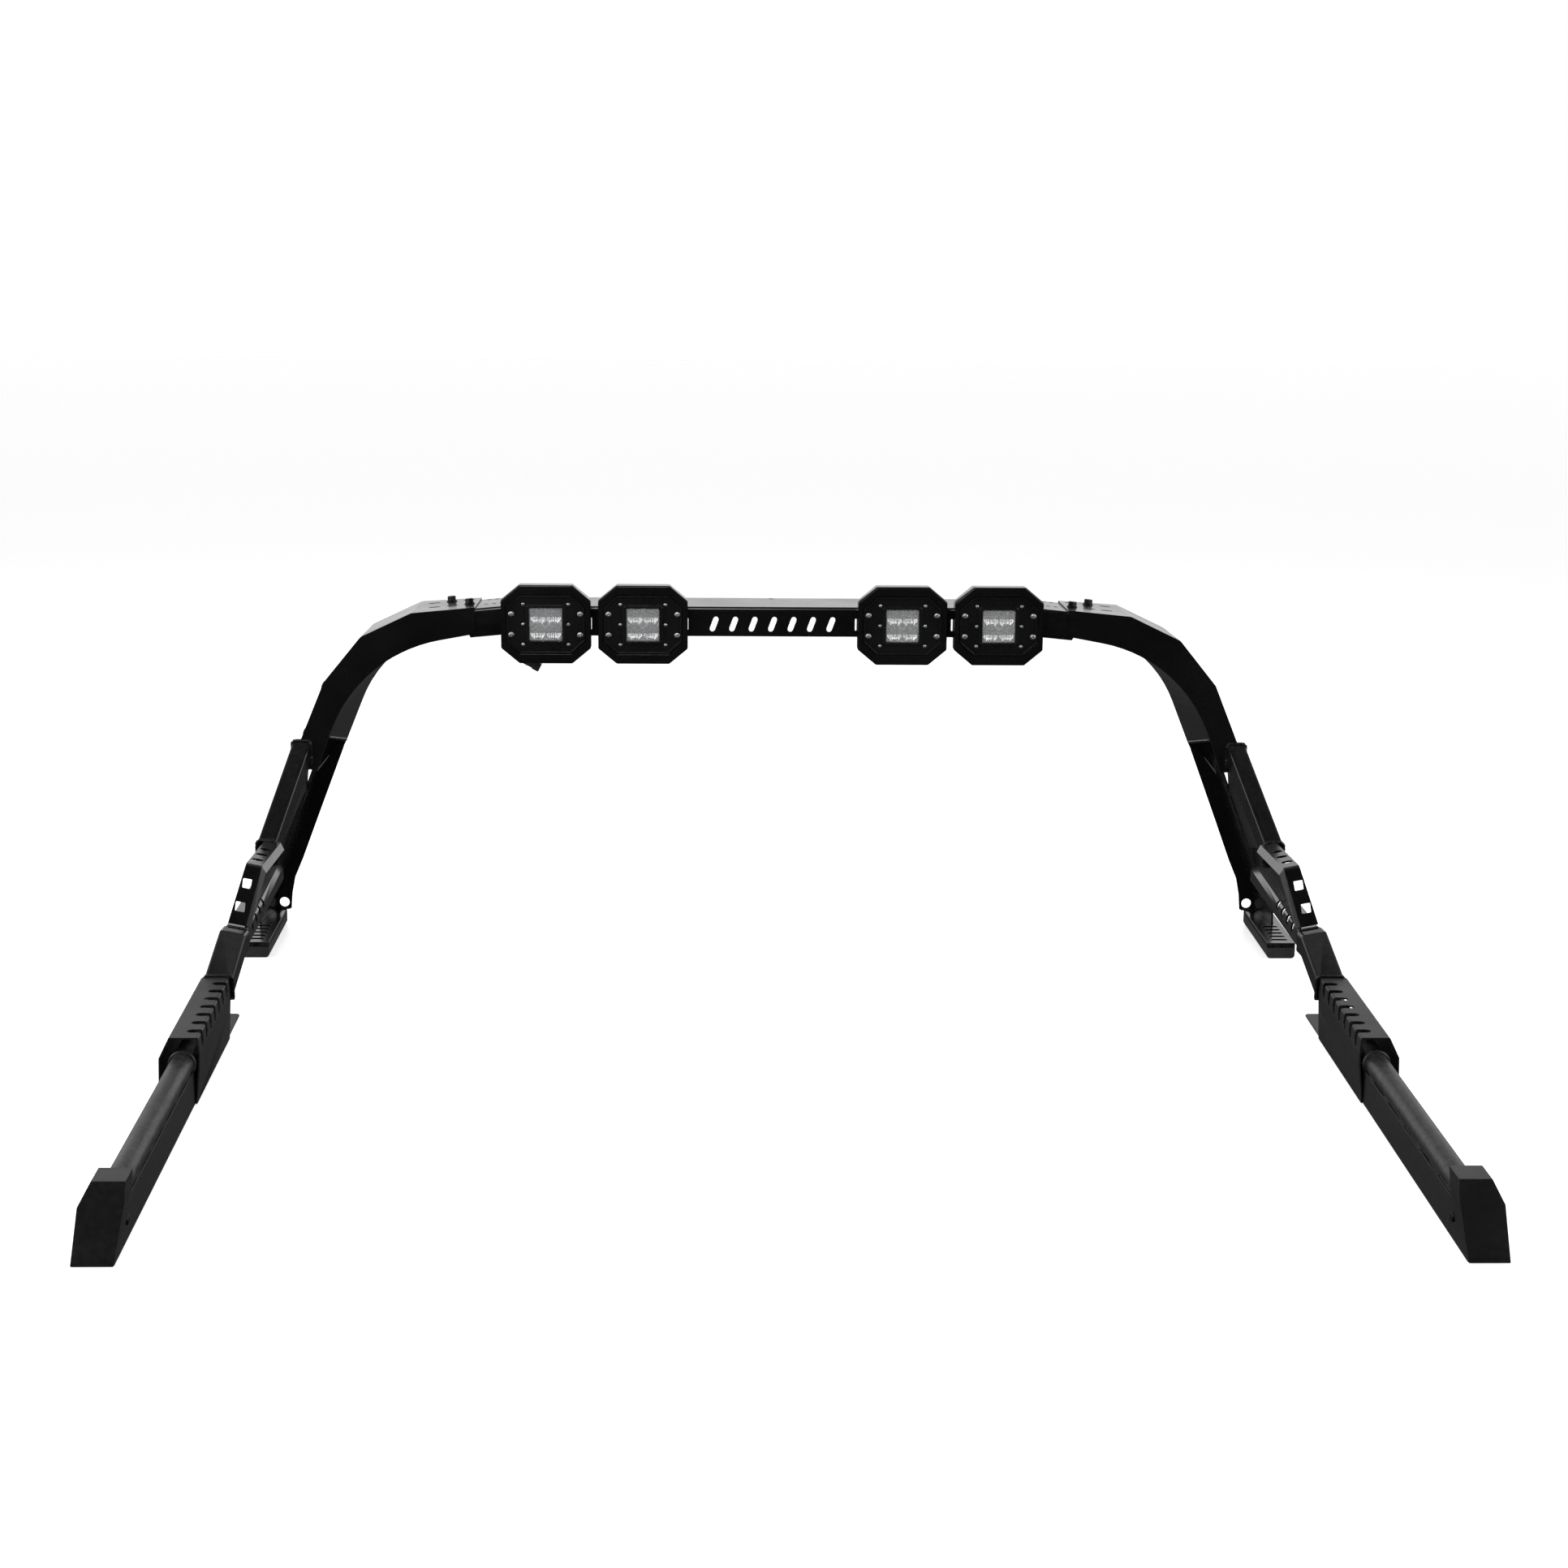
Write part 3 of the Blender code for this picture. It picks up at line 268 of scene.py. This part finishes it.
def turned(shape, origin, axis, profile):
    """Lofts outlines at heights along an axis; profile holds (outline, height)."""
    axis = Vector(axis).normalized()
    first = axis.orthogonal().normalized()
    second = axis.cross(first)
    loft(shape, [[Vector(origin) + first * a + second * b + axis * height for a, b in outline]
                 for outline, height in profile])


def make(name, draw, body, slot, side=1, sharp=32):
    """Makes a piece that rides on the body, mirrored when side is -1."""
    shape = bmesh.new()
    draw(shape)
    if side < 0:
        bmesh.ops.scale(shape, vec=(-1, 1, 1), verts=shape.verts)
    bmesh.ops.recalc_face_normals(shape, faces=shape.faces)
    data = bpy.data.meshes.new(name)
    shape.to_mesh(data)
    shape.free()
    data.materials.append(MATERIALS[slot])
    data.shade_smooth()
    data.set_sharp_from_angle(angle=math.radians(sharp))
    obj = bpy.data.objects.new(name, data)
    bpy.context.scene.collection.objects.link(obj)
    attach(obj, body)
    return obj


# ---------------------------------------------------------------- CAD nodes

SLOTS = {
    "powder_coat": ("crossbar", "slide_bar", "arm", "leg_channel", "foot_plate", "upper_tube",
                    "knee_bracket", "brace_gusset", "lower_bracket", "lower_tube"),
    "rail_coat": ("slotted_cover", "side_rail", "rail_tube", "end_cap"),
    "pod_coat": ("pod_housing",),
    "cast_black": ("light_bezel", "light_body"),
    "reflector_chrome": ("reflector",),
    "lens_clear": ("lens",),
    "black_steel": ("clamp_bolt", "pivot_bolt"),
    "black_plastic": ("light_connector",),
    "foot_rubber": ("foot_base",),
}
# Radius of the softened edge on each family of pieces
EDGE = {"crossbar": 0.0006, "pod_housing": 0.0012, "light_bezel": 0.0005, "light_body": 0.0006,
        "slide_bar": 0.0005, "knee_bracket": 0.0006, "brace_gusset": 0.0006, "leg_channel": 0.0008,
        "foot_plate": 0.0007, "foot_base": 0.0010, "side_rail": 0.0007, "end_cap": 0.0010,
        "slotted_cover": 0.0006, "lower_bracket": 0.0006, "arm": 0.0010, "clamp_bolt": 0.0003,
        "light_connector": 0.0004, "upper_tube": 0.0004, "lower_tube": 0.0004, "lens": 0.0002}


def family(node):
    found = [name for name in EDGE if node.startswith(name)]
    return max(found, key=len) if found else None


def finish_nodes():
    """Gives every CAD node its material, and each family listed in EDGE a small rounded edge that catches
    the light.
    """
    for node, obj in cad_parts.items():
        slot = next(s for s, names in SLOTS.items() if node.startswith(names))
        obj.data.materials.clear()
        obj.data.materials.append(MATERIALS[slot])
        for polygon in obj.data.polygons:
            polygon.material_index = 0
        width = EDGE.get(family(node))
        if not width:
            continue
        weld = obj.modifiers.new("weld", "WELD")
        weld.merge_threshold = 0.00001
        bevel = obj.modifiers.new("edge", "BEVEL")
        bevel.width = width
        bevel.segments = 2
        bevel.limit_method = "ANGLE"
        bevel.angle_limit = math.radians(30)
        bevel.use_clamp_overlap = True
        bevel.harden_normals = True


# ---------------------------------------------------------------- fasteners

def socket_screw(radius, height, socket):
    """A button head with a hexagon socket, as a turned profile."""
    dome = [(circle(radius * math.cos(a)), height * (0.55 + 0.45 * math.sin(a)))
            for a in (0, 0.35, 0.7, 1.0)]
    top = height * (0.55 + 0.45 * math.sin(1.0))
    return [(circle(radius), 0.0)] + dome + [
        (hexagon(socket), top + 0.0001), (hexagon(socket * 0.94), top - height * 0.7)]


def flange_nut(width, height):
    """A hexagon nut with a washer face, standing up from its origin."""
    return [
        (circle(width * 0.65), 0.0), (circle(width * 0.65), 0.0012), (circle(width * 0.55), 0.0020),
        (hexagon(width), 0.0020), (hexagon(width), height - 0.0008), (circle(width * 0.48), height),
        (circle(width * 0.31), height), (circle(width * 0.29), height - 0.0012),
    ]


def pod_centre(number):
    low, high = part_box(f"lens_{number}")
    return (low + high) / 2


def bezel_face(number):
    """Y of the bezel's flat face, behind its raised rim."""
    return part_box(f"light_bezel_{number}")[0].y + 0.0024


def add_bezel_screws():
    for number in PODS:
        centre = pod_centre(number)
        face = bezel_face(number)

        def large(shape):
            for x in (-0.056, 0.056):
                for z in (-0.017, 0.017):
                    place = (centre.x + x, face, centre.z + z)
                    turned(shape, place, (0, -1, 0), socket_screw(0.0047, 0.0034, 0.0034))

        def small(shape):
            for x in (-0.0367, 0.0367):
                for z in (-0.033, 0.0, 0.033):
                    place = (centre.x + x, face, centre.z + z)
                    turned(shape, place, (0, -1, 0), socket_screw(0.0027, 0.0015, 0.0021))

        make(f"bezel_screws_{number}", large, "crossbar_frame", "zinc_steel")
        make(f"frame_screws_{number}", small, "crossbar_frame", "zinc_steel")


def add_pod_fixings():
    """Nuts on the inside of the crossbar's front wall that hold each pod."""
    for number in PODS:
        centre = pod_centre(number)

        def nuts(shape):
            for x in (-0.030, 0.030):
                place = (centre.x + x, HOOP_Y + 0.0022, centre.z + 0.004)
                stud = [(circle(0.0029), 0.0), (circle(0.0029), 0.0105), (circle(0.0024), 0.0112)]
                turned(shape, place, (0, 1, 0), flange_nut(0.010, 0.0075))
                turned(shape, place, (0, 1, 0), stud)

        make(f"pod_fixings_{number}", nuts, "crossbar_frame", "black_steel")


def add_clamp_nuts():
    """Flange nuts under the slide bars, one on each clamp bolt."""
    for name, side in SIDES:
        for place in ("front", "back"):
            low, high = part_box(f"clamp_bolt_{place}_{name}")
            middle = (low + high) / 2

            def nut(shape):
                down = Vector((-0.0975, 0, -0.9952))
                foot = Vector((abs(middle.x), middle.y, high.z - 0.0150))
                turned(shape, foot, down, flange_nut(0.013, 0.0085))

            make(f"clamp_nut_{place}_{name}", nut, "crossbar_frame", "black_steel", side)


# ---------------------------------------------------------------- lamp optics

FLUTES = 7
RIB_STEPS = 5
ROWS = 20


def optic_depth(x, z, half):
    """How far the fluted mirror lies behind its rim: a bowl, upright ribs and shallow level steps."""
    bowl = 0.0048 * (1 - min(1.0, (x * x + z * z) / (half * half)))
    rib = 0.0008 * abs(math.sin(math.pi * FLUTES * (x + half) / (2 * half)))
    step = 0.0003 * math.sin(math.tau * 3.0 * (z + half) / (2 * half))
    return bowl + step - rib


def draw_optic(shape, centre, front, half):
    """One quarter of the mirror as a closed sheet 1 mm thick or more."""
    columns = FLUTES * RIB_STEPS
    back = front + 0.0080
    rings = []
    for i in range(columns + 1):
        x = -half + 2 * half * i / columns
        face = []
        for k in range(ROWS + 1):
            z = -half + 2 * half * k / ROWS
            face.append(Vector((centre.x + x, front + 0.0020 + optic_depth(x, z, half), centre.z + z)))
        behind = [Vector((centre.x + x, back, centre.z + z)) for z in (half, -half)]
        rings.append(face + behind)
    loft(shape, rings)


def draw_diamond(shape, centre, front):
    """A bevelled lozenge where the four quarters meet, and small wedges at the rim."""
    rings = []
    for reach, y in ((0.0086, 0.0016), (0.0086, 0.0006), (0.0070, 0.0), (0.0052, 0.0), (0.0044, 0.0008)):
        rings.append([Vector((centre.x + a * reach, front + y, centre.z + b * reach))
                      for a, b in ((1, 0), (0, 1), (-1, 0), (0, -1))])
    loft(shape, rings)
    edge = 0.0260
    for a, b in ((1, 0), (0, 1), (-1, 0), (0, -1)):
        tip = Vector((a, 0, b)) * (edge - 0.0045)
        for_side = Vector((-b, 0, a)) * 0.0036
        rim = Vector((a, 0, b)) * edge
        outline = [tip, rim + for_side, rim - for_side]
        loft(shape, [[Vector((centre.x, front + y, centre.z)) + p for p in outline] for y in (0.0, 0.0030)])


def add_optics():
    for number in PODS:
        centre = pod_centre(number)
        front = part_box(f"lens_{number}")[1].y + 0.0001
        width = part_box(f"lens_{number}")[1].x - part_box(f"lens_{number}")[0].x
        quarter = width / 4 - 0.0004
        half = quarter - 0.0006

        def mirrors(shape):
            for x in (-quarter, quarter):
                for z in (-quarter, quarter):
                    draw_optic(shape, centre + Vector((x, 0, z)), front, half)

        make(f"fluted_mirrors_{number}", mirrors, "crossbar_frame", "reflector_chrome", sharp=60)
        make(f"optic_lozenge_{number}", lambda shape: draw_diamond(shape, centre, front),
             "crossbar_frame", "zinc_steel", sharp=20)
        make(f"optic_screw_{number}",
             lambda shape: turned(shape, (centre.x, front + 0.0013, centre.z), (0, -1, 0),
                                  socket_screw(0.0036, 0.0011, 0.0024)),
             "crossbar_frame", "black_steel")


# ---------------------------------------------------------------- weld beads

def resample(path, spacing):
    points = [Vector(path[0])]
    for end in map(Vector, path[1:]):
        start = points[-1]
        count = max(1, round((end - start).length / spacing))
        points += [start.lerp(end, k / count) for k in range(1, count + 1)]
    return points


def draw_bead(shape, path, radius, seed, closed=False):
    """A weld bead: ripples that lap over each other along the path."""
    dice = random.Random(seed)
    points = resample(path, radius * 0.42)
    if closed:
        points.pop()
    count = len(points)
    rings = []
    for k, point in enumerate(points):
        before = points[k - 1] if k or closed else point
        after = points[(k + 1) % count] if k < count - 1 or closed else point
        run = (after - before).normalized()
        steep = abs(run.z) > 0.9
        first = (run.orthogonal() if steep else run.cross(Vector((0, 0, 1)))).normalized()
        second = run.cross(first)
        ripple = 0.80 + 0.22 * abs(math.sin(math.pi * k / 3.0)) + dice.uniform(-0.07, 0.07)
        if not closed:
            ripple *= min(1.0, 0.45 + 0.35 * min(k, count - 1 - k))
        wander = first * dice.uniform(-0.08, 0.08) * radius
        rings.append([point + wander + (first * math.cos(a) + second * math.sin(a)) * radius * ripple
                      for a in (math.tau * i / 9 for i in range(9))])
    loft(shape, rings, closed)


def box_loop(centre_x, centre_z, width, height, y, lean=0.0):
    """A rectangle's corners round a tube, closed, at one Y."""
    x, z = width / 2, height / 2
    corners = [(x, -z), (x, z - 0.004), (x - 0.004, z), (-x + 0.004, z), (-x, z - 0.004), (-x, -z), (x, -z)]
    return [(centre_x + a, y + lean * b, centre_z + b) for a, b in corners]


def hoop(points):
    """Points given with Y from the hoop's front plane, in world place."""
    return [(x, y + HOOP_Y, z) for x, y, z in points]


def welds():
    """(name, path, bead radius, closed) for the right-hand side."""
    upper_back, upper_front = -0.0010, -0.1700
    yield "arm_web", [(0.7322, 0.006, 0.3560), (0.7252, 0.147, 0.3262)], 0.0024, False
    yield "tube_arm", box_loop(0.7765, 0.3321, 0.0310, 0.0388, upper_back), 0.0030, True
    yield "tube_shelf", box_loop(0.8081, 0.2023, 0.0308, 0.0386, upper_front), 0.0034, True
    yield "gusset_tube", [(0.7815, -0.028, 0.2920), (0.7990, -0.1600, 0.1890)], 0.0018, False
    yield "gusset_leg", [(0.7805, 0.0550, 0.2560), (0.8262, 0.0550, 0.1400)], 0.0019, False
    yield "shelf_gusset", [(0.7962, -0.178, 0.2167), (0.7962, -0.323, 0.2176)], 0.0014, False
    yield "window_tube", [(0.8010, -0.4030, 0.1385), (0.8280, -0.4030, 0.1435)], 0.0026, False
    yield "tube_mouth", box_loop(0.8224, 0.0790, 0.0428, 0.0348, -0.5080), 0.0023, True
    yield "bracket_tube", [(0.8020, -0.3865, 0.1345), (0.8240, -0.3865, 0.1380)], 0.0018, False
    yield "flange_foot", [(0.8668, 0.0580, 0.0272), (0.8556, 0.1500, 0.0272)], 0.0020, False
    yield "web_foot", [(0.8300, 0.1485, 0.0272), (0.8530, 0.1485, 0.0272)], 0.0020, False
    for k in range(6):
        y = -1.285 + 0.088 * k
        x = 0.7796 + RAIL_TOE * (y + RAIL_START)
        yield f"tube_rail_{k + 1}", [(x, y, 0.0462), (x + 0.0012, y + 0.028, 0.0462)], 0.0018, False


def draw_closing_plate(shape):
    """The plate that closes the gap above the leg's flange, in the flange's own slanting plane."""
    corners = [(0.056, 0.258), (0.056, 0.312), (0.146, 0.312), (0.146, 0.258)]
    rings = []
    for outboard in (0.0008, 0.0030):
        rings.append([(0.7785 - 0.383 * (z - 0.262) + outboard, y + HOOP_Y, z) for y, z in corners])
    loft(shape, rings)


def add_closing_plates():
    for name, side in SIDES:
        make(f"closing_plate_{name}", draw_closing_plate, f"side_{name}", "powder_coat", side)


def add_welds():
    for name, side in SIDES:
        for k, (place, path, radius, closed) in enumerate(welds()):
            make(f"weld_{place}_{name}",
                 lambda shape: draw_bead(shape, hoop(path), radius, 40 + k, closed),
                 f"side_{name}", "powder_coat", side, sharp=80)


# ---------------------------------------------------------------- rails

def rail_axis(y):
    """The rail tube's centre at a Y from the hoop's front plane."""
    return Vector((0.7908 + RAIL_TOE * (y + RAIL_START), y + HOOP_Y, 0.058))


def add_rail_fittings():
    for name, side in SIDES:
        run = Vector((RAIL_TOE, 1, 0)).normalized()

        def collar(shape):
            """A rolled ring where the tube leaves the cover."""
            start = rail_axis(-0.8060)
            profile = [(0.0162, 0.0), (0.0180, 0.0004), (0.0192, 0.0020),
                       (0.0192, 0.0060), (0.0180, 0.0078), (0.0162, 0.0082)]
            first = Vector((0, 0, 1))
            second = run.cross(first)
            rings = []
            for radius, height in profile:
                outline = circle(radius, 40)
                rings.append([start + run * height + (first * a + second * b) for a, b in outline])
            loft(shape, rings, closed=True)

        def stud(shape):
            """A hexagon bolt through the rail's wall behind the end cap."""
            y = -1.3000
            wall = Vector((0.7756 + RAIL_TOE * (y + RAIL_START), y + HOOP_Y, 0.0340))
            profile = [(circle(0.0068), 0.0), (circle(0.0068), 0.0012), (hexagon(0.0100), 0.0012),
                       (hexagon(0.0100), 0.0066), (circle(0.0044), 0.0074)]
            turned(shape, wall, (-1, 0, 0), profile)

        def rail_bolts(shape):
            for y in (-1.235, -1.020, -0.450):
                place = Vector((0.8110 + RAIL_TOE * (y + RAIL_START), y + HOOP_Y, 0.0031))
                turned(shape, place, (0, 0, 1), flange_nut(0.0100, 0.0070))
                end = [(circle(0.0029), 0.0), (circle(0.0029), 0.0120), (circle(0.0023), 0.0128)]
                turned(shape, place, (0, 0, 1), end)

        make(f"tube_collar_{name}", collar, f"side_{name}", "rail_coat", side)
        make(f"cap_stud_{name}", stud, f"side_{name}", "black_steel", side)
        make(f"rail_nuts_{name}", rail_bolts, f"side_{name}", "black_steel", side)


# ---------------------------------------------------------------- connector

def add_connector_parts():
    """The plug's latch, ribs and the moulded boot that holds it to the lamp."""
    low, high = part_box("light_connector")
    middle = (low + high) / 2
    slant = math.radians(-28)
    forward = Vector((math.cos(slant), 0, math.sin(slant)))
    across = Vector((0, 1, 0))
    up = across.cross(forward) * -1

    def latch(shape):
        outline = [(-0.004, 0.0), (0.010, 0.0), (0.010, 0.0014),
                   (0.008, 0.0026), (-0.002, 0.0026), (-0.004, 0.0014)]
        offset, width = 0.0070, 0.006
        loft(shape, [[middle + forward * a + up * (offset + b) + across * w for a, b in outline]
                     for w in (-width / 2, width / 2)])
        for k in range(3):
            start = middle + forward * (-0.006 - 0.0035 * k)
            rib = circle(0.0068 - 0.0005 * k, 16)
            loft(shape, [[start + across * a + up * b + forward * h for a, b in rib]
                         for h in (-0.0009, 0.0009)])

    def boot(shape):
        """A tapered boot from the plug's tail up behind the pod to the crossbar's underside."""
        tail = middle - forward * 0.0125
        top = Vector((tail.x - 0.0060, tail.y + 0.0040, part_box("crossbar")[0].z + 0.0030))
        knee = tail - forward * 0.014 + Vector((0, 0, 0.004))
        rings = []
        for k in range(13):
            t = k / 12
            point = tail * (1 - t) ** 2 + knee * 2 * t * (1 - t) + top * t * t
            run = ((knee - tail) * (1 - t) + (top - knee) * t).normalized()
            first = run.cross(Vector((0, 1, 0))).normalized()
            second = run.cross(first)
            radius = 0.0042 - 0.0010 * t + (0.0004 if k % 2 else 0.0)
            rings.append([point + first * a + second * b for a, b in circle(radius, 16)])
        loft(shape, rings)

    make("connector_latch", latch, "crossbar_frame", "black_plastic")
    make("connector_boot", boot, "crossbar_frame", "black_plastic")


finish_nodes()
add_bezel_screws()
add_pod_fixings()
add_clamp_nuts()
add_optics()
add_welds()
add_closing_plates()
add_rail_fittings()
add_connector_parts()


# ---------------------------------------------------------------- stage, light and camera

def add_floor():
    shape = bmesh.new()
    bmesh.ops.create_grid(shape, x_segments=1, y_segments=1, size=30)
    data = bpy.data.meshes.new("floor")
    shape.to_mesh(data)
    shape.free()
    floor = bpy.data.objects.new("floor", data)
    floor.location.z = -0.0004
    graph = Graph("floor_white")
    tone = graph.mix(graph.noise(1.5, 2.0), (0.90, 0.90, 0.90), (0.93, 0.93, 0.93))
    graph.feed(graph.shader.inputs["Base Color"], tone)
    graph.shader.inputs["Roughness"].default_value = 0.30
    graph.shader.inputs["Emission Color"].default_value = (1, 1, 1, 1)
    graph.shader.inputs["Emission Strength"].default_value = 0.56
    graph.shader.inputs["Specular IOR Level"].default_value = 0.35
    data.materials.append(graph.material)
    floor.visible_glossy = False
    bpy.context.scene.collection.objects.link(floor)


def add_world():
    """White to the eye; to a reflection, dim except for a bright band behind, near the horizon."""
    world = bpy.data.worlds.new("studio")
    world.use_nodes = True
    bpy.context.scene.world = world
    tree = world.node_tree
    seen = tree.nodes["Background"]
    seen.inputs["Color"].default_value = (1, 1, 1, 1)
    seen.inputs["Strength"].default_value = 1.0
    place = tree.nodes.new("ShaderNodeTexCoord")
    split = tree.nodes.new("ShaderNodeSeparateXYZ")
    tree.links.new(place.outputs["Generated"], split.inputs[0])

    def ramp(axis, start, end, low, high):
        made = tree.nodes.new("ShaderNodeMapRange")
        made.interpolation_type = "SMOOTHSTEP"
        for key, value in (("From Min", start), ("From Max", end), ("To Min", low), ("To Max", high)):
            made.inputs[key].default_value = value
        tree.links.new(split.outputs[axis], made.inputs["Value"])
        return made.outputs["Result"]

    def times(first, second):
        made = tree.nodes.new("ShaderNodeMath")
        made.operation = "MULTIPLY"
        tree.links.new(first, made.inputs[0])
        tree.links.new(second, made.inputs[1])
        return made.outputs[0]

    behind = ramp("Y", -0.15, 0.60, 0.035, 1.30)
    above = ramp("Z", -0.16, 0.02, 0.05, 1.0)
    overhead = ramp("Z", 0.22, 0.48, 1.0, 0.28)
    shine = tree.nodes.new("ShaderNodeBackground")
    tree.links.new(times(times(behind, above), overhead), shine.inputs["Strength"])
    path = tree.nodes.new("ShaderNodeLightPath")
    mixed = tree.nodes.new("ShaderNodeMixShader")
    tree.links.new(path.outputs["Is Camera Ray"], mixed.inputs["Fac"])
    tree.links.new(shine.outputs[0], mixed.inputs[1])
    tree.links.new(seen.outputs[0], mixed.inputs[2])
    tree.links.new(mixed.outputs[0], tree.nodes["World Output"].inputs["Surface"])


def add_softbox(name, place, target, size, power, shiny=True):
    light = bpy.data.lights.new(name, "AREA")
    light.shape = "RECTANGLE"
    light.size, light.size_y = size
    light.energy = power
    lamp = bpy.data.objects.new(name, light)
    lamp.location = place
    lamp.rotation_euler = (Vector(target) - Vector(place)).to_track_quat("-Z", "Y").to_euler()
    lamp.visible_glossy = shiny
    bpy.context.scene.collection.objects.link(lamp)


def add_camera():
    """The viewpoint: a little left of centre, above the rack, looking down at it."""
    pitch, yaw, roll = 0.2049, 0.0300, -0.0091
    forward = Vector((math.sin(yaw) * math.cos(pitch), math.cos(yaw) * math.cos(pitch), -math.sin(pitch)))
    level = Vector((math.cos(yaw), -math.sin(yaw), 0))
    upright = level.cross(forward)
    right = level * math.cos(roll) - upright * math.sin(roll)
    up = level * math.sin(roll) + upright * math.cos(roll)
    data = bpy.data.cameras.new("camera")
    data.sensor_width = 36.0
    data.lens = 36.0 * 3000 / 1932
    data.clip_end = 200
    camera = bpy.data.objects.new("camera", data)
    matrix = camera.matrix_world.copy()
    for row in range(3):
        matrix[row][0], matrix[row][1], matrix[row][2] = right[row], up[row], -forward[row]
    matrix[0][3], matrix[1][3], matrix[2][3] = -0.098, HOOP_Y - 3.972, 1.1065
    camera.matrix_world = matrix
    bpy.context.scene.collection.objects.link(camera)
    bpy.context.scene.camera = camera


add_floor()
add_world()
add_softbox("overhead", (0, 0.4, 3.4), (0, 0.2, 0), (5.0, 4.0), 130, shiny=False)
add_softbox("left_wall", (-3.2, -0.6, 1.6), (0, 0, 0.3), (2.2, 2.0), 45)
add_softbox("right_wall", (3.2, -0.6, 1.6), (0, 0, 0.3), (2.2, 2.0), 45)
add_softbox("key", (-0.7, -3.6, 2.7), (0, HOOP_Y, 0.5), (1.6, 0.9), 40)
add_camera()
bpy.context.scene.view_settings.view_transform = "Standard"
